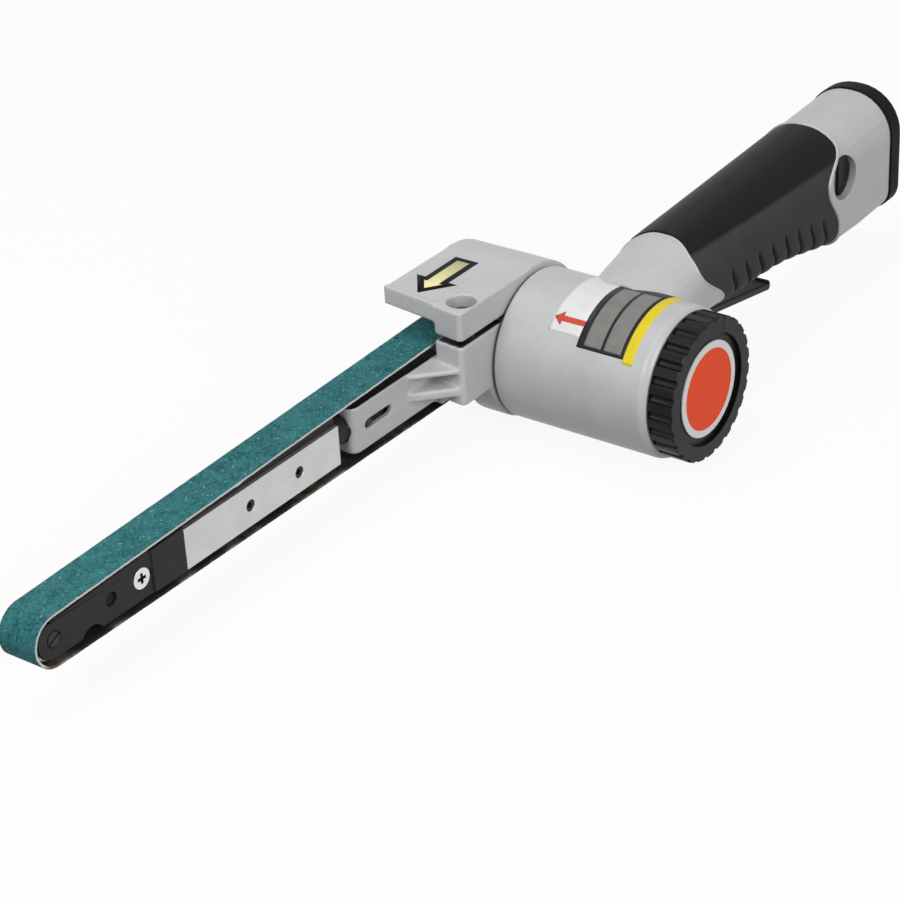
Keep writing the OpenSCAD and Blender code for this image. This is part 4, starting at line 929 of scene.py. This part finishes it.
def floorPaper(tones):
    # white where the camera or a mirror looks at it, dull paper for the shadow, quiet bounce for other light
    material = bpy.data.materials.new("floorPaper")
    material.use_nodes = True
    tree = material.node_tree
    tree.nodes.clear()
    out = put(tree, "ShaderNodeOutputMaterial")
    path = put(tree, "ShaderNodeLightPath")
    glow = put(tree, "ShaderNodeEmission", {"Color": (1, 1, 1, 1), "Strength": 1.0})
    dull = put(tree, "ShaderNodeBsdfDiffuse")
    plain, quiet = (tones["floorTone"],) * 3, (tones["bounceTone"],) * 3
    tree.links.new(blendColours(tree, path.outputs["Is Diffuse Ray"], plain, quiet), dull.inputs["Color"])
    mirror = calc(tree, "MAXIMUM", path.outputs["Is Glossy Ray"], path.outputs["Is Transmission Ray"])
    direct = calc(tree, "MULTIPLY", path.outputs["Is Camera Ray"], tones["floorGlow"])
    seen = calc(tree, "MAXIMUM", mirror, direct)
    mix = put(tree, "ShaderNodeMixShader")
    tree.links.new(seen, mix.inputs["Fac"])
    tree.links.new(dull.outputs[0], mix.inputs[1])
    tree.links.new(glow.outputs[0], mix.inputs[2])
    tree.links.new(mix.outputs[0], out.inputs["Surface"])
    return material


world = bpy.data.worlds.new("studioWorld")
bpy.context.scene.world = world
world.use_nodes = True
sky = world.node_tree
sky.nodes.clear()
skyOut = put(sky, "ShaderNodeOutputWorld")
skyPath = put(sky, "ShaderNodeLightPath")
skySeen = calc(sky, "MAXIMUM", skyPath.outputs["Is Camera Ray"],
               calc(sky, "MAXIMUM", skyPath.outputs["Is Glossy Ray"], skyPath.outputs["Is Transmission Ray"]))
skyWhite = put(sky, "ShaderNodeBackground", {"Color": (1, 1, 1, 1), "Strength": 1.0})
skySoft = put(sky, "ShaderNodeBackground", {"Color": (1, 1, 1, 1), "Strength": studio["skyLight"]})
skyMix = put(sky, "ShaderNodeMixShader")
sky.links.new(skySeen, skyMix.inputs["Fac"])
sky.links.new(skySoft.outputs[0], skyMix.inputs[1])
sky.links.new(skyWhite.outputs[0], skyMix.inputs[2])
sky.links.new(skyMix.outputs[0], skyOut.inputs["Surface"])

floorMesh = bpy.data.meshes.new("floor")
corners = [(x * studio["floorSide"], y * studio["floorSide"], studio["floorZ"])
           for x, y in ((-1, -1), (1, -1), (1, 1), (-1, 1))]
floorMesh.from_pydata(corners, [], [(0, 1, 2, 3)])
floor = bpy.data.objects.new("floor", floorMesh)
bpy.context.scene.collection.objects.link(floor)
floorMesh.materials.append(floorPaper(studio))

lamps = {
    "topBox": {"at": (-0.35, 0.15, 1.0), "to": (-0.16, 0.0, 0.0), "size": 0.55, "power": 2.4},
    "sideBox": {"at": (-0.45, -1.0, 0.52), "to": (-0.16, 0.0, 0.0), "size": 0.5, "power": 6.7},
    "tipBox": {"at": (-1.05, 0.1, 0.66), "to": (-0.2, 0.0, 0.0), "size": 0.45, "power": 4.9},
    "rearBox": {"at": (0.1, 0.95, 0.46), "to": (-0.14, 0.0, 0.0), "size": 0.22, "power": 0.9},
}
for name, lamp in lamps.items():
    data = bpy.data.lights.new(name, "AREA")
    data.shape = "SQUARE"
    data.size = lamp["size"]
    data.energy = lamp["power"]
    box = bpy.data.objects.new(name, data)
    aim = np.array(lamp["at"]) - np.array(lamp["to"])
    back = aim / np.linalg.norm(aim)
    right = np.cross((0.0, 0.0, 1.0), back)
    right /= np.linalg.norm(right)
    up = np.cross(back, right)
    box.matrix_world = Matrix([(right[i], up[i], back[i], lamp["at"][i]) for i in range(3)] + [(0, 0, 0, 1)])
    bpy.context.scene.collection.objects.link(box)
bpy.context.scene.view_settings.view_transform = "Standard"
print("studio lit")
